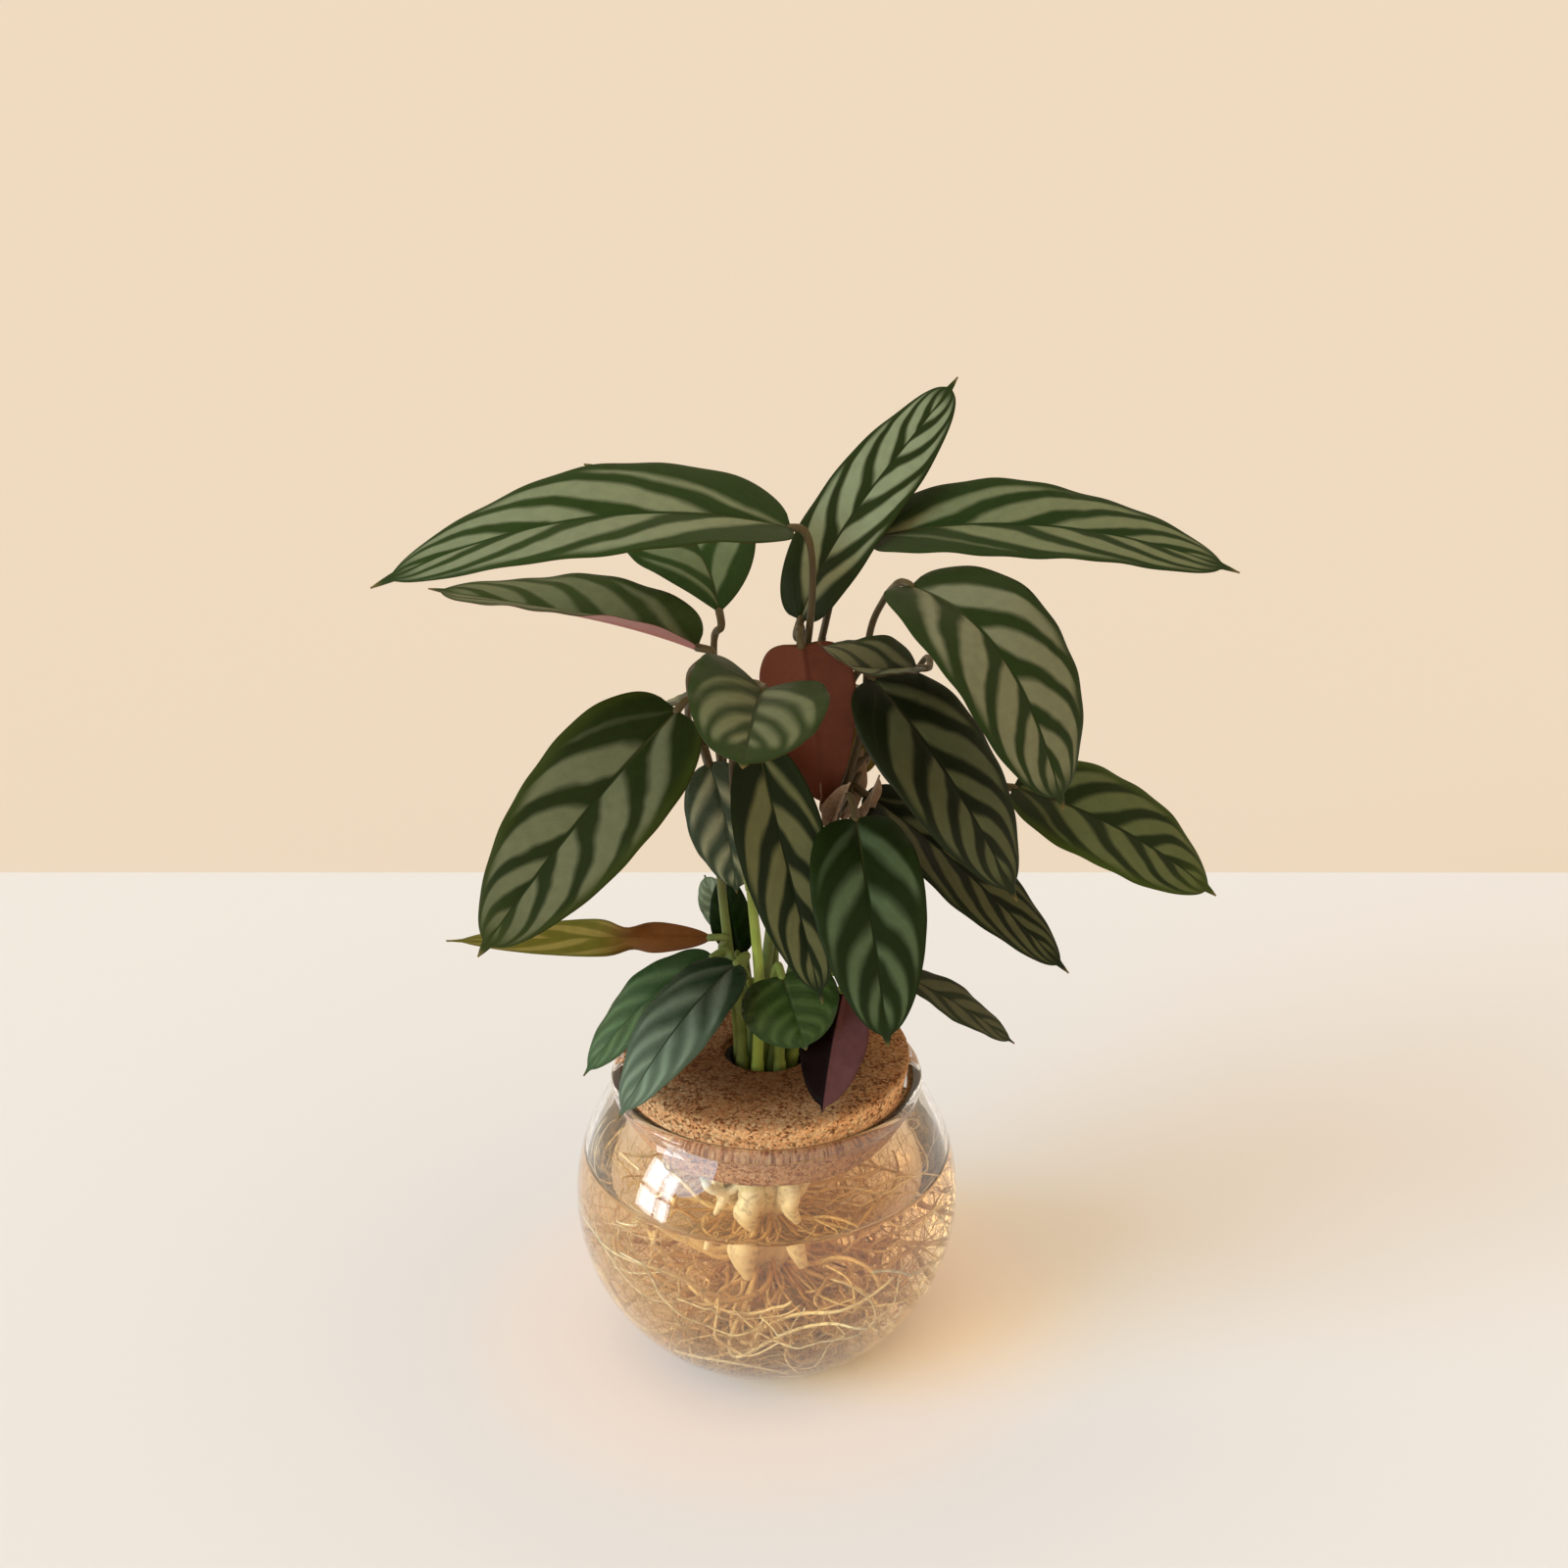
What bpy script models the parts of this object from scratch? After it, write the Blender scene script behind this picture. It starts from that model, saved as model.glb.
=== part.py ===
"""Potted never never plant: a striped-leaf plant in water, in a round glass bowl with a cork lid.

Metres, +Z up. The origin is the middle of the bowl's flat foot. +X is to the right of someone who
looks along +Y, which points to the back of the plant.
"""

import math
from typing import NamedTuple

import bpy
import numpy as np

# Driving dimensions of the bowl and its lid
MM = 0.001
GAP = 0.0003
BOWL_RADIUS = 0.075
BOWL_CENTRE = 0.065
FOOT_RADIUS = 0.038
GLASS_WALL = 0.0028
NECK_RADIUS = 0.0575
MOUTH_RADIUS = 0.0544
LIP_MIDDLE = 0.0576
LIP_HEIGHT = 0.1172
LIP_HALF_WIDTH = 0.0035
LIP_HALF_HEIGHT = 0.0028
FLOOR_HEIGHT = 0.0032
FLOOR_RADIUS = 0.037
FLOOR_DISH = 0.0008
FLOOR_ANGLE = 0.6
WATER_LEVEL = 0.0845
WELL_MARGIN = 0.0036
CORK_BOTTOM = 0.098
CORK_TOP = 0.129
CORK_BOTTOM_RADIUS = 0.050
CORK_TOP_RADIUS = 0.056
CORK_EDGE = 0.0018
HOLE_RADIUS = 0.0165
COLLAR_INNER = 0.0139
COLLAR_BOTTOM = 0.093
COLLAR_TOP = 0.1265
COLLAR_CORNER = 0.0008
ROUND_STEPS = 32
COLLAR_STEPS = 24
SMOOTH_BELOW = math.radians(40)
ON_AXIS = 1e-7

# Driving dimensions of the plant
BLADE_THICKNESS = 0.0009
BASE_WIDTH = 2.6
TIP_WIDTH = 1.3
LARGE_BLADE = 30
LARGE_ROWS = 12
SMALL_ROWS = 9
CROWN_TOP = 0.068
CROWN_BOTTOM = 0.034
CANE_SWELL_TOP = 0.080
CANE_SLIM_FROM = 0.090
CANE_RADIUS = 0.0025
STALK_SPACING = 19
STALK_SIDES = 6
BASE_SIDES = 7
CORE_SIDES = 10
ROOT_COUNT = 20
ROOT_RADIUS = 0.0013
ROOT_START = 0.007
ROOT_REACH = 0.0655
ROOT_LOW = 0.0095
ROOT_STEPS = 9
ROOT_SIDES = 4
SEED = 7

COLOURS = {
    "glass": ((0.86, 0.90, 0.88), 0.05),
    "water": ((0.78, 0.72, 0.58), 0.05),
    "cork": ((0.50, 0.25, 0.12), 0.85),
    "foam": ((0.02, 0.02, 0.025), 0.95),
    "crown": ((0.78, 0.66, 0.40), 0.55),
    "stalk": ((0.20, 0.24, 0.07), 0.45),
    "leaf": ((0.06, 0.15, 0.05), 0.40),
    "young leaf": ((0.03, 0.10, 0.05), 0.35),
    "underside": ((0.20, 0.06, 0.04), 0.50),
    "purple": ((0.10, 0.03, 0.05), 0.45),
    "old leaf": ((0.30, 0.22, 0.03), 0.50),
}


class Blade(NamedTuple):
    """A leaf blade, in millimetres and degrees.

    base and tip are the ends of its midrib, and face is the way that its upper side looks. arch lifts
    the midrib off the straight line at one third and two thirds of it, towards face, and bend moves it
    to the right there. turn rolls the blade at its base and at its tip. fold raises both halves into a
    V, curl bends their edges down, and ear draws the base back into two round lobes. peak under 1
    puts the widest place nearer the base, and full under 1 makes the ends rounder.
    """

    base: tuple
    tip: tuple
    face: tuple
    width: float
    arch: tuple = (8, 6)
    bend: tuple = (0, 0)
    turn: tuple = (0, 0)
    fold: float = 10
    curl: float = 0.12
    wave: float = 0.8
    ear: float = 0.05
    peak: float = 0.78
    full: float = 0.55
    colour: str = "leaf"


BLADES = {
    "leaf_upper_left": Blade(
        (9, -4, 347), (-138, -30, 335), (5, -40, 100), 50, arch=(26, 24), turn=(-6, 0), fold=13,
        peak=0.68, full=0.6,
    ),
    "leaf_upper_left_under": Blade(
        (-25, 6, 296), (-126, 40, 305), (6, 0, 100), 44, arch=(6, 1), fold=26, peak=0.7
    ),
    "leaf_back_left_top": Blade(
        (-17, 18, 305), (-69, 78, 340), (20, -70, 100), 52, arch=(6, 4), bend=(16, 12), peak=0.9, full=0.95
    ),
    "leaf_top": Blade(
        (13, 9, 306), (70, 46, 386), (-45, -90, 60), 32, arch=(8, 2), bend=(-8, 0), full=0.42
    ),
    "leaf_upper_right": Blade(
        (40, 22, 333), (172, 10, 324), (0, -38, 100), 42, arch=(19, 17), fold=13, peak=0.64, full=0.5
    ),
    "leaf_right_front": Blade(
        (52, -12, 328), (105, -62, 264), (45, -60, 80), 56, arch=(33, 19), ear=0.22, peak=0.8,
        full=0.48,
    ),
    "leaf_right_shaded": Blade(
        (39, 3, 285), (91, -46, 219), (30, -70, 70), 44, arch=(12, 10), fold=7, peak=0.7
    ),
    "leaf_right_folded": Blade(
        (55, -1, 291), (19, -32, 315), (20, -20, 100), 29, arch=(-5, -10), fold=26, peak=0.62, full=0.75
    ),
    "leaf_mid_right": Blade((93, 12, 236), (169, -5, 199), (20, -50, 90), 44, arch=(11, 10)),
    "leaf_low_right": Blade((37, 2, 238), (113, -25, 177), (30, -45, 80), 34, arch=(8, 4)),
    "leaf_front_right": Blade(
        (33, -24, 241), (44, -84, 180), (0, -75, 60), 42, arch=(16, 12), peak=0.72, full=0.5
    ),
    "leaf_front_centre": Blade((-3, -14, 267), (21, -46, 176), (-10, -85, 45), 34, arch=(4, 0)),
    "leaf_heart": Blade(
        (-1, -40, 300), (-7, -108, 303), (2, -12, 100), 54, arch=(4, 4), turn=(12, 4), fold=20,
        ear=0.3, curl=0.16, peak=0.66, full=0.45,
    ),
    "leaf_left_front": Blade(
        (-32, -12, 279), (-103, -64, 206), (-26, -85, 78), 54, arch=(10, 7), peak=0.7, full=0.5
    ),
    "leaf_twisted": Blade(
        (-21, 2, 177), (-123, 12, 170), (0, -20, 100), 15, arch=(2, 0), turn=(70, 0), full=0.7,
        colour="old leaf",
    ),
    "leaf_over_rim": Blade(
        (-11, -18, 177), (-54, -66, 139), (-30, -60, 80), 30, arch=(10, 8), colour="young leaf"
    ),
    "leaf_over_rim_back": Blade(
        (-20, -6, 173), (-69, -28, 134), (-40, -40, 80), 26, arch=(10, 8), colour="young leaf"
    ),
    "leaf_rim_dark": Blade(
        (-15, -2, 163), (-26, -3, 138), (20, 90, 30), 14, arch=(0, 0), colour="purple"
    ),
    "leaf_small_dark": Blade(
        (-11, 10, 166), (-16, 11, 201), (-10, -90, 30), 17, arch=(2, 2), colour="young leaf"
    ),
    "leaf_small_round_back": Blade(
        (-15, 24, 170), (-24, 32, 188), (-10, -90, 30), 14, arch=(2, 2), full=0.45, colour="young leaf"
    ),
    "leaf_left_inner": Blade(
        (-21, 0, 252), (-11, -3, 199), (-12, -80, 20), 30, arch=(4, 3), bend=(-4, -2), colour="young leaf"
    ),
    "leaf_small_round_front": Blade(
        (6, -19, 172), (15, -44, 155), (-10, -60, 70), 38, arch=(3, 3), full=0.45, colour="young leaf"
    ),
    "leaf_purple_hanging": Blade(
        (29, -24, 168), (21, -54, 134), (20, 80, 30), 26, arch=(-4, -4), colour="purple"
    ),
    "leaf_small_right": Blade((52, -2, 163), (96, 4, 129), (30, -40, 70), 16, arch=(3, 3)),
    "leaf_hanging_back": Blade(
        (13, -5, 302), (22, -4, 235), (0, 90, 10), 36, arch=(2, 0), peak=0.52, full=0.42,
        colour="underside",
    ),
    "leaf_mustard": Blade(
        (29, 16, 238), (42, 36, 252), (0, -60, 70), 17, arch=(2, 2), colour="old leaf"
    ),
    "leaf_back_left": Blade((-18, 32, 262), (-76, 100, 194), (-60, 70, 80), 42, arch=(16, 12)),
    "leaf_back_middle": Blade((3, 28, 266), (6, 108, 202), (0, 80, 80), 40, arch=(16, 12)),
    "leaf_back_right": Blade((32, 32, 262), (74, 100, 202), (50, 75, 80), 42, arch=(14, 12)),
}


class Stalk(NamedTuple):
    """A round stalk through points in millimetres, from radius thick to radius thin.

    It ends just short of the base of its leaf, if it has one.
    """

    points: tuple
    thick: float
    thin: float
    leaf: str = ""


def risen(foot, hole, *above):
    """A cane's points: upright on the crown at foot, upright through the collar at hole, then above."""
    foot_top = CROWN_TOP / MM + 5
    low, high = COLLAR_BOTTOM / MM - 3, COLLAR_TOP / MM + 4
    start = ((*foot, CROWN_TOP / MM), (*foot, foot_top), (*hole, low), (*hole, high))
    return start + above


CANES = {
    "cane_left": (
        Stalk(risen((-14, 3), (-10.6, 1.9), (-17, 5, 200), (-18, 5, 240)), 3.8, 1.5),
        Stalk(((-18, 5, 238), (-24, 5, 262), (-28, 6, 284)), 1.6, 1.2, "leaf_upper_left_under"),
        Stalk(((-21, 5, 250), (-28, 0, 268)), 1.4, 1.2, "leaf_left_front"),
        Stalk(((-18, 5, 238), (-21, 4, 248)), 1.3, 1.1, "leaf_left_inner"),
        Stalk(((-13.5, 4, 160), (-17, 4, 171)), 1.4, 1.1, "leaf_twisted"),
    ),
    "cane_front": (
        Stalk(risen((-6, -13), (-3.3, -10.3), (-2.5, -12, 165), (-6, -13, 212)), 5.5, 1.8),
        Stalk(((-6, -13, 208), (-7, -9, 250)), 1.7, 1.2, "leaf_front_centre"),
        Stalk(((-6, -13, 206), (-12, -14, 255), (-7, -24, 293)), 1.7, 1.2, "leaf_heart"),
    ),
    "cane_centre": (
        Stalk(risen((-4, -2), (-3.5, -2), (6, 2, 220), (12, 4, 280)), 3.0, 1.7),
        Stalk(((12, 4, 278), (16, 1, 306), (17, -3, 332)), 1.5, 1.2, "leaf_upper_left"),
        Stalk(((12, 4, 276), (13, 7, 296)), 1.4, 1.2, "leaf_top"),
        Stalk(((12, 4, 284), (13, 3, 304)), 1.4, 1.2, "leaf_hanging_back"),
    ),
    "cane_node": (
        Stalk(risen((4.5, -3), (3.5, -2), (16, -1, 190), (27, 0, 236)), 3.0, 2.2),
        Stalk(((26, 0, 232), (30, -12, 245)), 1.4, 1.2, "leaf_front_right"),
        Stalk(((26, 0, 230), (31, 1, 237)), 1.4, 1.2, "leaf_low_right"),
        Stalk(((27, 0, 234), (27, 8, 236)), 1.2, 1.0, "leaf_mustard"),
        Stalk(((27, 0, 232), (28, 4, 262), (30, 5, 278)), 1.4, 1.1, "leaf_right_shaded"),
        Stalk(((27, 0, 232), (36, 9, 265), (38, 13, 297), (43, 8, 314)), 1.5, 1.2, "leaf_right_front"),
        Stalk(((27, 0, 232), (43, 13, 258), (58, 12, 288)), 1.4, 1.1, "leaf_right_folded"),
        Stalk(((27, 0, 232), (36, 8, 250), (60, 14, 258), (82, 14, 248)), 1.6, 1.2, "leaf_mid_right"),
    ),
    "cane_right": (
        Stalk(risen((12, 8), (8.8, 6.2), (12, 12, 180), (17, 18, 250), (21, 20, 294)), 3.4, 1.4),
        Stalk(((20, 20, 290), (27, 21, 320)), 1.4, 1.2, "leaf_upper_right"),
        Stalk(((16, 17, 240), (23, 24, 256)), 1.4, 1.2, "leaf_back_right"),
    ),
    "cane_back_left": (
        Stalk(risen((-8, 12), (-5.4, 9.4), (-12, 18, 190), (-17, 22, 240), (-20, 20, 270)), 3.2, 1.4),
        Stalk(((-19, 20, 264), (-19, 17, 294)), 1.4, 1.2, "leaf_back_left_top"),
        Stalk(((-16, 21, 232), (-16, 26, 252)), 1.4, 1.2, "leaf_back_left"),
        Stalk(((-8, 13, 148), (-13, 20, 162)), 1.2, 1.0, "leaf_small_round_back"),
    ),
    "cane_rim": (
        Stalk(risen((-16, -8), (-9.2, -5.7), (-10, -8, 160)), 3.4, 1.8),
        Stalk(((-10, -8, 154), (-10, -11, 168)), 1.5, 1.2, "leaf_over_rim"),
        Stalk(((-10, -8, 150), (-12, -6, 168)), 1.5, 1.2, "leaf_over_rim_back"),
        Stalk(((-10, -7, 144), (-12, -4, 160)), 1.2, 1.0, "leaf_rim_dark"),
    ),
    "cane_front_right": (
        Stalk(risen((8, -12), (5.1, -9.5), (5, -12, 160)), 4.0, 1.8),
        Stalk(((5, -12, 154), (3, -14, 168)), 1.4, 1.2, "leaf_small_round_front"),
        Stalk(((5, -11, 150), (20, -14, 170)), 1.4, 1.2, "leaf_purple_hanging"),
    ),
    "cane_low_right": (
        Stalk(risen((14, -3), (10.6, -1.9), (26, -2, 154), (42, -2, 165)), 3.0, 1.4, "leaf_small_right"),
    ),
    "cane_small": (
        Stalk(risen((0, 5), (0, 4), (-6, 7, 156)), 2.6, 1.6),
        Stalk(((-5, 6.5, 150), (-9, 9, 160)), 1.2, 1.0, "leaf_small_dark"),
    ),
    "cane_back": (
        Stalk(risen((4, 14), (2.8, 10.4), (3, 20, 220), (3, 24, 256)), 3.0, 1.3, "leaf_back_middle"),
    ),
}


def clear_scene():
    for old in list(bpy.data.objects):
        bpy.data.objects.remove(old)


def material(name):
    """A plain finish from COLOURS, made once."""
    made = bpy.data.materials.get(name)
    if made:
        return made
    colour, roughness = COLOURS[name]
    made = bpy.data.materials.new(name)
    made.use_nodes = True
    shader = made.node_tree.nodes["Principled BSDF"]
    shader.inputs["Base Color"].default_value = (*colour, 1)
    shader.inputs["Roughness"].default_value = roughness
    shader.inputs["Metallic"].default_value = 0
    return made


def solid(name, points, faces, colour):
    """An object in the scene from points in metres and its faces."""
    mesh = bpy.data.meshes.new(name)
    mesh.from_pydata([tuple(map(float, point)) for point in points], [], [tuple(face) for face in faces])
    mesh.validate()
    mesh.materials.append(material(colour))
    made = bpy.data.objects.new(name, mesh)
    bpy.context.scene.collection.objects.link(made)
    return made


def arc(centre, radius, start, end, steps):
    """Points (r, z) of an arc about a centre on the axis, by angle from straight down."""
    angles = np.linspace(start, end, steps)
    return [(radius * math.sin(angle), centre - radius * math.cos(angle)) for angle in angles]


def lip_bead(start, end, steps):
    """Points (r, z) of the oval bead of the bowl's lip, by angle in degrees up from its outer side."""
    angles = np.radians(np.linspace(start, end, steps))
    wide = LIP_MIDDLE + LIP_HALF_WIDTH * np.cos(angles)
    high = LIP_HEIGHT + LIP_HALF_HEIGHT * np.sin(angles)
    return list(zip(wide, high))


def turned(name, profile, colour, steps=ROUND_STEPS):
    """A solid of revolution from a closed profile of (r, z), up its outer side and down its inner.

    A point on the axis becomes one pole.
    """
    points = []
    rings = []
    for radius, height in profile:
        if radius < ON_AXIS:
            rings.append([len(points)] * steps)
            points.append((0, 0, height))
            continue
        rings.append(range(len(points), len(points) + steps))
        turns = np.arange(steps) * 2 * math.pi / steps
        points += [(radius * math.cos(turn), radius * math.sin(turn), height) for turn in turns]
    faces = []
    pairs = list(zip(rings, rings[1:]))
    if profile[0][0] > ON_AXIS:
        pairs.append((rings[-1], rings[0]))
    for low, high in pairs:
        for i in range(steps):
            j = (i + 1) % steps
            corners = [low[i], low[j], high[j], high[i]]
            face = list(dict.fromkeys(corners))
            if len(face) > 2:
                faces.append(face)
    made = solid(name, points, faces, colour)
    made.data.shade_smooth()
    made.data.set_sharp_from_angle(angle=SMOOTH_BELOW)
    return made


def sphere_angle(radius, ring):
    """The angle from straight down at which a sphere has a ring of this radius, above its middle."""
    return math.pi - math.asin(ring / radius)


def inner_angles():
    """The angles of the rings of the bowl's inner wall: the floor's edge, the water line, the mouth."""
    inner = BOWL_RADIUS - GLASS_WALL
    water_line = math.acos((BOWL_CENTRE - WATER_LEVEL) / (inner - GAP))
    return FLOOR_ANGLE, water_line, sphere_angle(inner, MOUTH_RADIUS)


def floor_profile(height):
    """The bowl's inner floor, a shallow dish, as points (r, z) from its middle outwards."""
    inside = (0.75 * FLOOR_RADIUS, height + 0.4 * FLOOR_DISH)
    return [(0, height), inside, (FLOOR_RADIUS, height + FLOOR_DISH)]


def glass_bowl():
    """The blown bowl: a sphere's wall on a flat foot, which closes in to a neck with a round lip."""
    inner = BOWL_RADIUS - GLASS_WALL
    foot = math.asin(FOOT_RADIUS / BOWL_RADIUS)
    neck = sphere_angle(BOWL_RADIUS, NECK_RADIUS)
    outer_wall = arc(BOWL_CENTRE, BOWL_RADIUS, foot, neck, 11)
    outer_wall[0] = (FOOT_RADIUS, 0.0)
    lip = lip_bead(-50, 215, 8)
    low, water_line, high = inner_angles()
    inner_wall = arc(BOWL_CENTRE, inner, high, water_line, 4)
    inner_wall += arc(BOWL_CENTRE, inner, water_line, low, 7)[1:]
    floor = floor_profile(FLOOR_HEIGHT)[::-1]
    return turned("glass_bowl", [(0, 0)] + outer_wall + lip + inner_wall + floor, "glass")


def water():
    """The water, with a plain open well in which the crown and its roots stand."""
    outside = BOWL_RADIUS - GLASS_WALL - GAP
    well = outside - WELL_MARGIN
    low, water_line, _ = inner_angles()
    well_line = math.acos((BOWL_CENTRE - WATER_LEVEL) / well)
    wall = arc(BOWL_CENTRE, outside, low, water_line, 7)
    inside = arc(BOWL_CENTRE, well, well_line, low, 6)
    well_floor = (0, inside[-1][1] - 0.0005)
    profile = floor_profile(FLOOR_HEIGHT + GAP) + wall + inside + [well_floor]
    return turned("water", profile, "water")


def cork_lid():
    """The tapered cork disc, with a rounded top edge and a round hole."""
    slope = (CORK_TOP_RADIUS - CORK_BOTTOM_RADIUS) / (CORK_TOP - CORK_BOTTOM)
    shoulder = CORK_TOP_RADIUS - slope * CORK_EDGE
    profile = [
        (HOLE_RADIUS, CORK_BOTTOM),
        (CORK_BOTTOM_RADIUS - CORK_EDGE / 2, CORK_BOTTOM),
        (CORK_BOTTOM_RADIUS, CORK_BOTTOM + CORK_EDGE / 2),
        (shoulder, CORK_TOP - CORK_EDGE),
        (CORK_TOP_RADIUS - 0.35 * CORK_EDGE, CORK_TOP - 0.35 * CORK_EDGE),
        (CORK_TOP_RADIUS - CORK_EDGE, CORK_TOP),
        (HOLE_RADIUS, CORK_TOP),
    ]
    return turned("cork_lid", profile, "cork")


def foam_collar():
    """The foam ring that lines the hole of the lid and holds the bunch of stems."""
    outside = HOLE_RADIUS - GAP
    profile = [
        (COLLAR_INNER, COLLAR_BOTTOM),
        (outside - COLLAR_CORNER, COLLAR_BOTTOM),
        (outside, COLLAR_BOTTOM + COLLAR_CORNER),
        (outside, COLLAR_TOP - COLLAR_CORNER),
        (outside - COLLAR_CORNER, COLLAR_TOP),
        (COLLAR_INNER, COLLAR_TOP),
    ]
    return turned("foam_collar", profile, "foam", COLLAR_STEPS)


def smooth_path(points, spacing):
    """Points about this far apart on a smooth curve through the given ones (Catmull-Rom)."""
    points = [np.array(point, float) for point in points]
    if len(points) == 2:
        points.insert(1, (points[0] + points[1]) / 2)
    padded = [2 * points[0] - points[1]] + points + [2 * points[-1] - points[-2]]
    found = []
    for before, start, end, after in zip(padded, padded[1:], padded[2:], padded[3:]):
        pieces = max(1, round(np.linalg.norm(end - start) / spacing))
        for t in np.arange(pieces) / pieces:
            straight = 2 * start + (end - before) * t
            curve = (2 * before - 5 * start + 4 * end - after) * t**2
            swing = (3 * start - before - 3 * end + after) * t**3
            found.append((straight + curve + swing) / 2)
    found.append(points[-1])
    return np.array(found)


def tube(name, path, radii, sides, colour):
    """A closed round tube along a path in metres, with a radius for each of its points."""
    ahead = np.gradient(path, axis=0)
    ahead /= np.linalg.norm(ahead, axis=1, keepdims=True)
    across = np.cross(ahead[0], (0.9, 0.1, 0.3))
    turns = np.arange(sides) * 2 * math.pi / sides
    points = []
    for place, direction, radius in zip(path, ahead, radii):
        across = across - direction * across.dot(direction)
        across /= np.linalg.norm(across)
        other = np.cross(direction, across)
        ring = np.outer(np.cos(turns), across) + np.outer(np.sin(turns), other)
        points.extend(place + radius * ring)
    faces = [list(range(sides))[::-1]]
    for start in range(0, len(points) - sides, sides):
        for i in range(sides):
            j = (i + 1) % sides
            faces.append([start + i, start + j, start + sides + j, start + sides + i])
    faces.append(list(range(len(points) - sides, len(points))))
    return solid(name, points, faces, colour)


def fused(name, pieces):
    """One object from pieces that overlap, by one Boolean union.

    The solver is MANIFOLD, because EXACT is very slow on roots that cross each other at many places.
    """
    whole = pieces[0]
    whole.name = name
    if len(pieces) == 1:
        return whole
    others = bpy.data.collections.new(name + " pieces")
    bpy.context.scene.collection.children.link(others)
    for piece in pieces[1:]:
        bpy.context.scene.collection.objects.unlink(piece)
        others.objects.link(piece)
    union = whole.modifiers.new("union", "BOOLEAN")
    union.operation = "UNION"
    union.operand_type = "COLLECTION"
    union.collection = others
    union.solver = "MANIFOLD"
    graph = bpy.context.evaluated_depsgraph_get()
    joined = bpy.data.meshes.new_from_object(whole.evaluated_get(graph))
    whole.modifiers.remove(union)
    whole.data = joined
    for piece in pieces[1:]:
        bpy.data.objects.remove(piece)
    bpy.data.collections.remove(others)
    return whole


def blade_outline(blade, along):
    """Half of a blade's width, as a share of the greatest: round at the base, with a short drip tip."""
    body = np.clip(along / 0.95, 0, 1)
    oval = np.sin(math.pi * body**blade.peak).clip(0) ** blade.full
    drip = 0.13 * np.clip((1 - along) / 0.10, 0, 1) ** 0.7
    least = np.where(along > 0.6, TIP_WIDTH, BASE_WIDTH) / blade.width
    return np.maximum(np.where(along > 0.6, np.maximum(oval, drip), oval), least)


def blade_frame(blade, along):
    """Places, directions, sides and normals along a blade's midrib, in metres."""
    base = np.array(blade.base) * MM
    tip = np.array(blade.tip) * MM
    chord = tip - base
    face = np.array(blade.face, float)
    right = np.cross(chord, face)
    right /= np.linalg.norm(right)
    lift = np.cross(right, chord)
    lift /= np.linalg.norm(lift)
    first = base + chord / 3 + (lift * blade.arch[0] + right * blade.bend[0]) * MM
    second = base + chord * 2 / 3 + (lift * blade.arch[1] + right * blade.bend[1]) * MM
    t = along[:, None]
    places = base * (1 - t) ** 3 + 3 * first * t * (1 - t) ** 2 + 3 * second * t**2 * (1 - t) + tip * t**3
    ahead = (first - base) * (1 - t) ** 2 + 2 * (second - first) * t * (1 - t) + (tip - second) * t**2
    ahead /= np.linalg.norm(ahead, axis=1, keepdims=True)
    level = np.cross(ahead, lift)
    level /= np.linalg.norm(level, axis=1, keepdims=True)
    upward = np.cross(level, ahead)
    roll = np.radians(np.interp(along, [0, 1], blade.turn))[:, None]
    side = level * np.cos(roll) + upward * np.sin(roll)
    return places, ahead, side, np.cross(side, ahead)


def blade_surface(blade, along, across):
    """The middle surface of a blade, as a grid of points: rows run along it, columns across it."""
    places, ahead, side, normal = blade_frame(blade, along)
    outline = blade_outline(blade, along)[:, None]
    width = outline * blade.width / 2 * MM
    spread = across[None, :]
    edge = np.abs(spread)
    fold = np.radians(blade.fold * (1.7 - 1.2 * along[:, None]))
    rise = width * (edge * np.sin(fold) - blade.curl * edge**2)
    waves = np.sin(along[:, None] * 4.4 * math.pi + 1.3 * np.sign(spread) + blade.width)
    rise = rise + blade.wave * MM * waves * edge**2 * outline
    back = blade.ear * blade.width * MM * (edge * outline) ** 1.2 * (1 - along[:, None]) ** 4
    sideways = width * spread * np.cos(fold)
    grid = places[:, None] + side[:, None] * sideways[..., None]
    return grid + normal[:, None] * rise[..., None] - ahead[:, None] * back[..., None]


def leaf(name, blade):
    """A leaf blade with its own thickness, split into triangles alike on both faces."""
    rows = LARGE_ROWS if blade.width > LARGE_BLADE else SMALL_ROWS
    along = (1 - np.cos(np.linspace(0, math.pi, rows + 1))) / 2
    along = 0.4 * along + 0.6 * np.linspace(0, 1, rows + 1)
    across = np.linspace(-1, 1, 5)
    grid = blade_surface(blade, along, across)
    tangent_along = np.gradient(grid, axis=0)
    tangent_across = np.gradient(grid, axis=1)
    normal = np.cross(tangent_across, tangent_along)
    normal /= np.linalg.norm(normal, axis=2, keepdims=True)
    half = normal * BLADE_THICKNESS / 2
    columns = len(across)
    points = np.concatenate([(grid + half).reshape(-1, 3), (grid - half).reshape(-1, 3)])
    below = (rows + 1) * columns
    faces = []
    for i in range(rows):
        for j in range(columns - 1):
            a = i * columns + j
            b, c, d = a + 1, a + columns + 1, a + columns
            for face in ((a, b, c), (a, c, d)) if j < columns // 2 else ((a, b, d), (b, c, d)):
                faces.append(face)
                faces.append(tuple(below + corner for corner in face[::-1]))
    first = list(range(columns))
    right = [i * columns + columns - 1 for i in range(rows + 1)]
    last = [rows * columns + j for j in range(columns)][::-1]
    left = [i * columns for i in range(rows + 1)][::-1]
    rim = first + right[1:] + last[1:] + left[1:-1]
    for a, b in zip(rim, rim[1:] + rim[:1]):
        faces.append((b, a, below + a))
        faces.append((b, below + a, below + b))
    made = solid(name, points, faces, blade.colour)
    made.data.shade_smooth()
    made.data.set_sharp_from_angle(angle=SMOOTH_BELOW)
    return made


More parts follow.
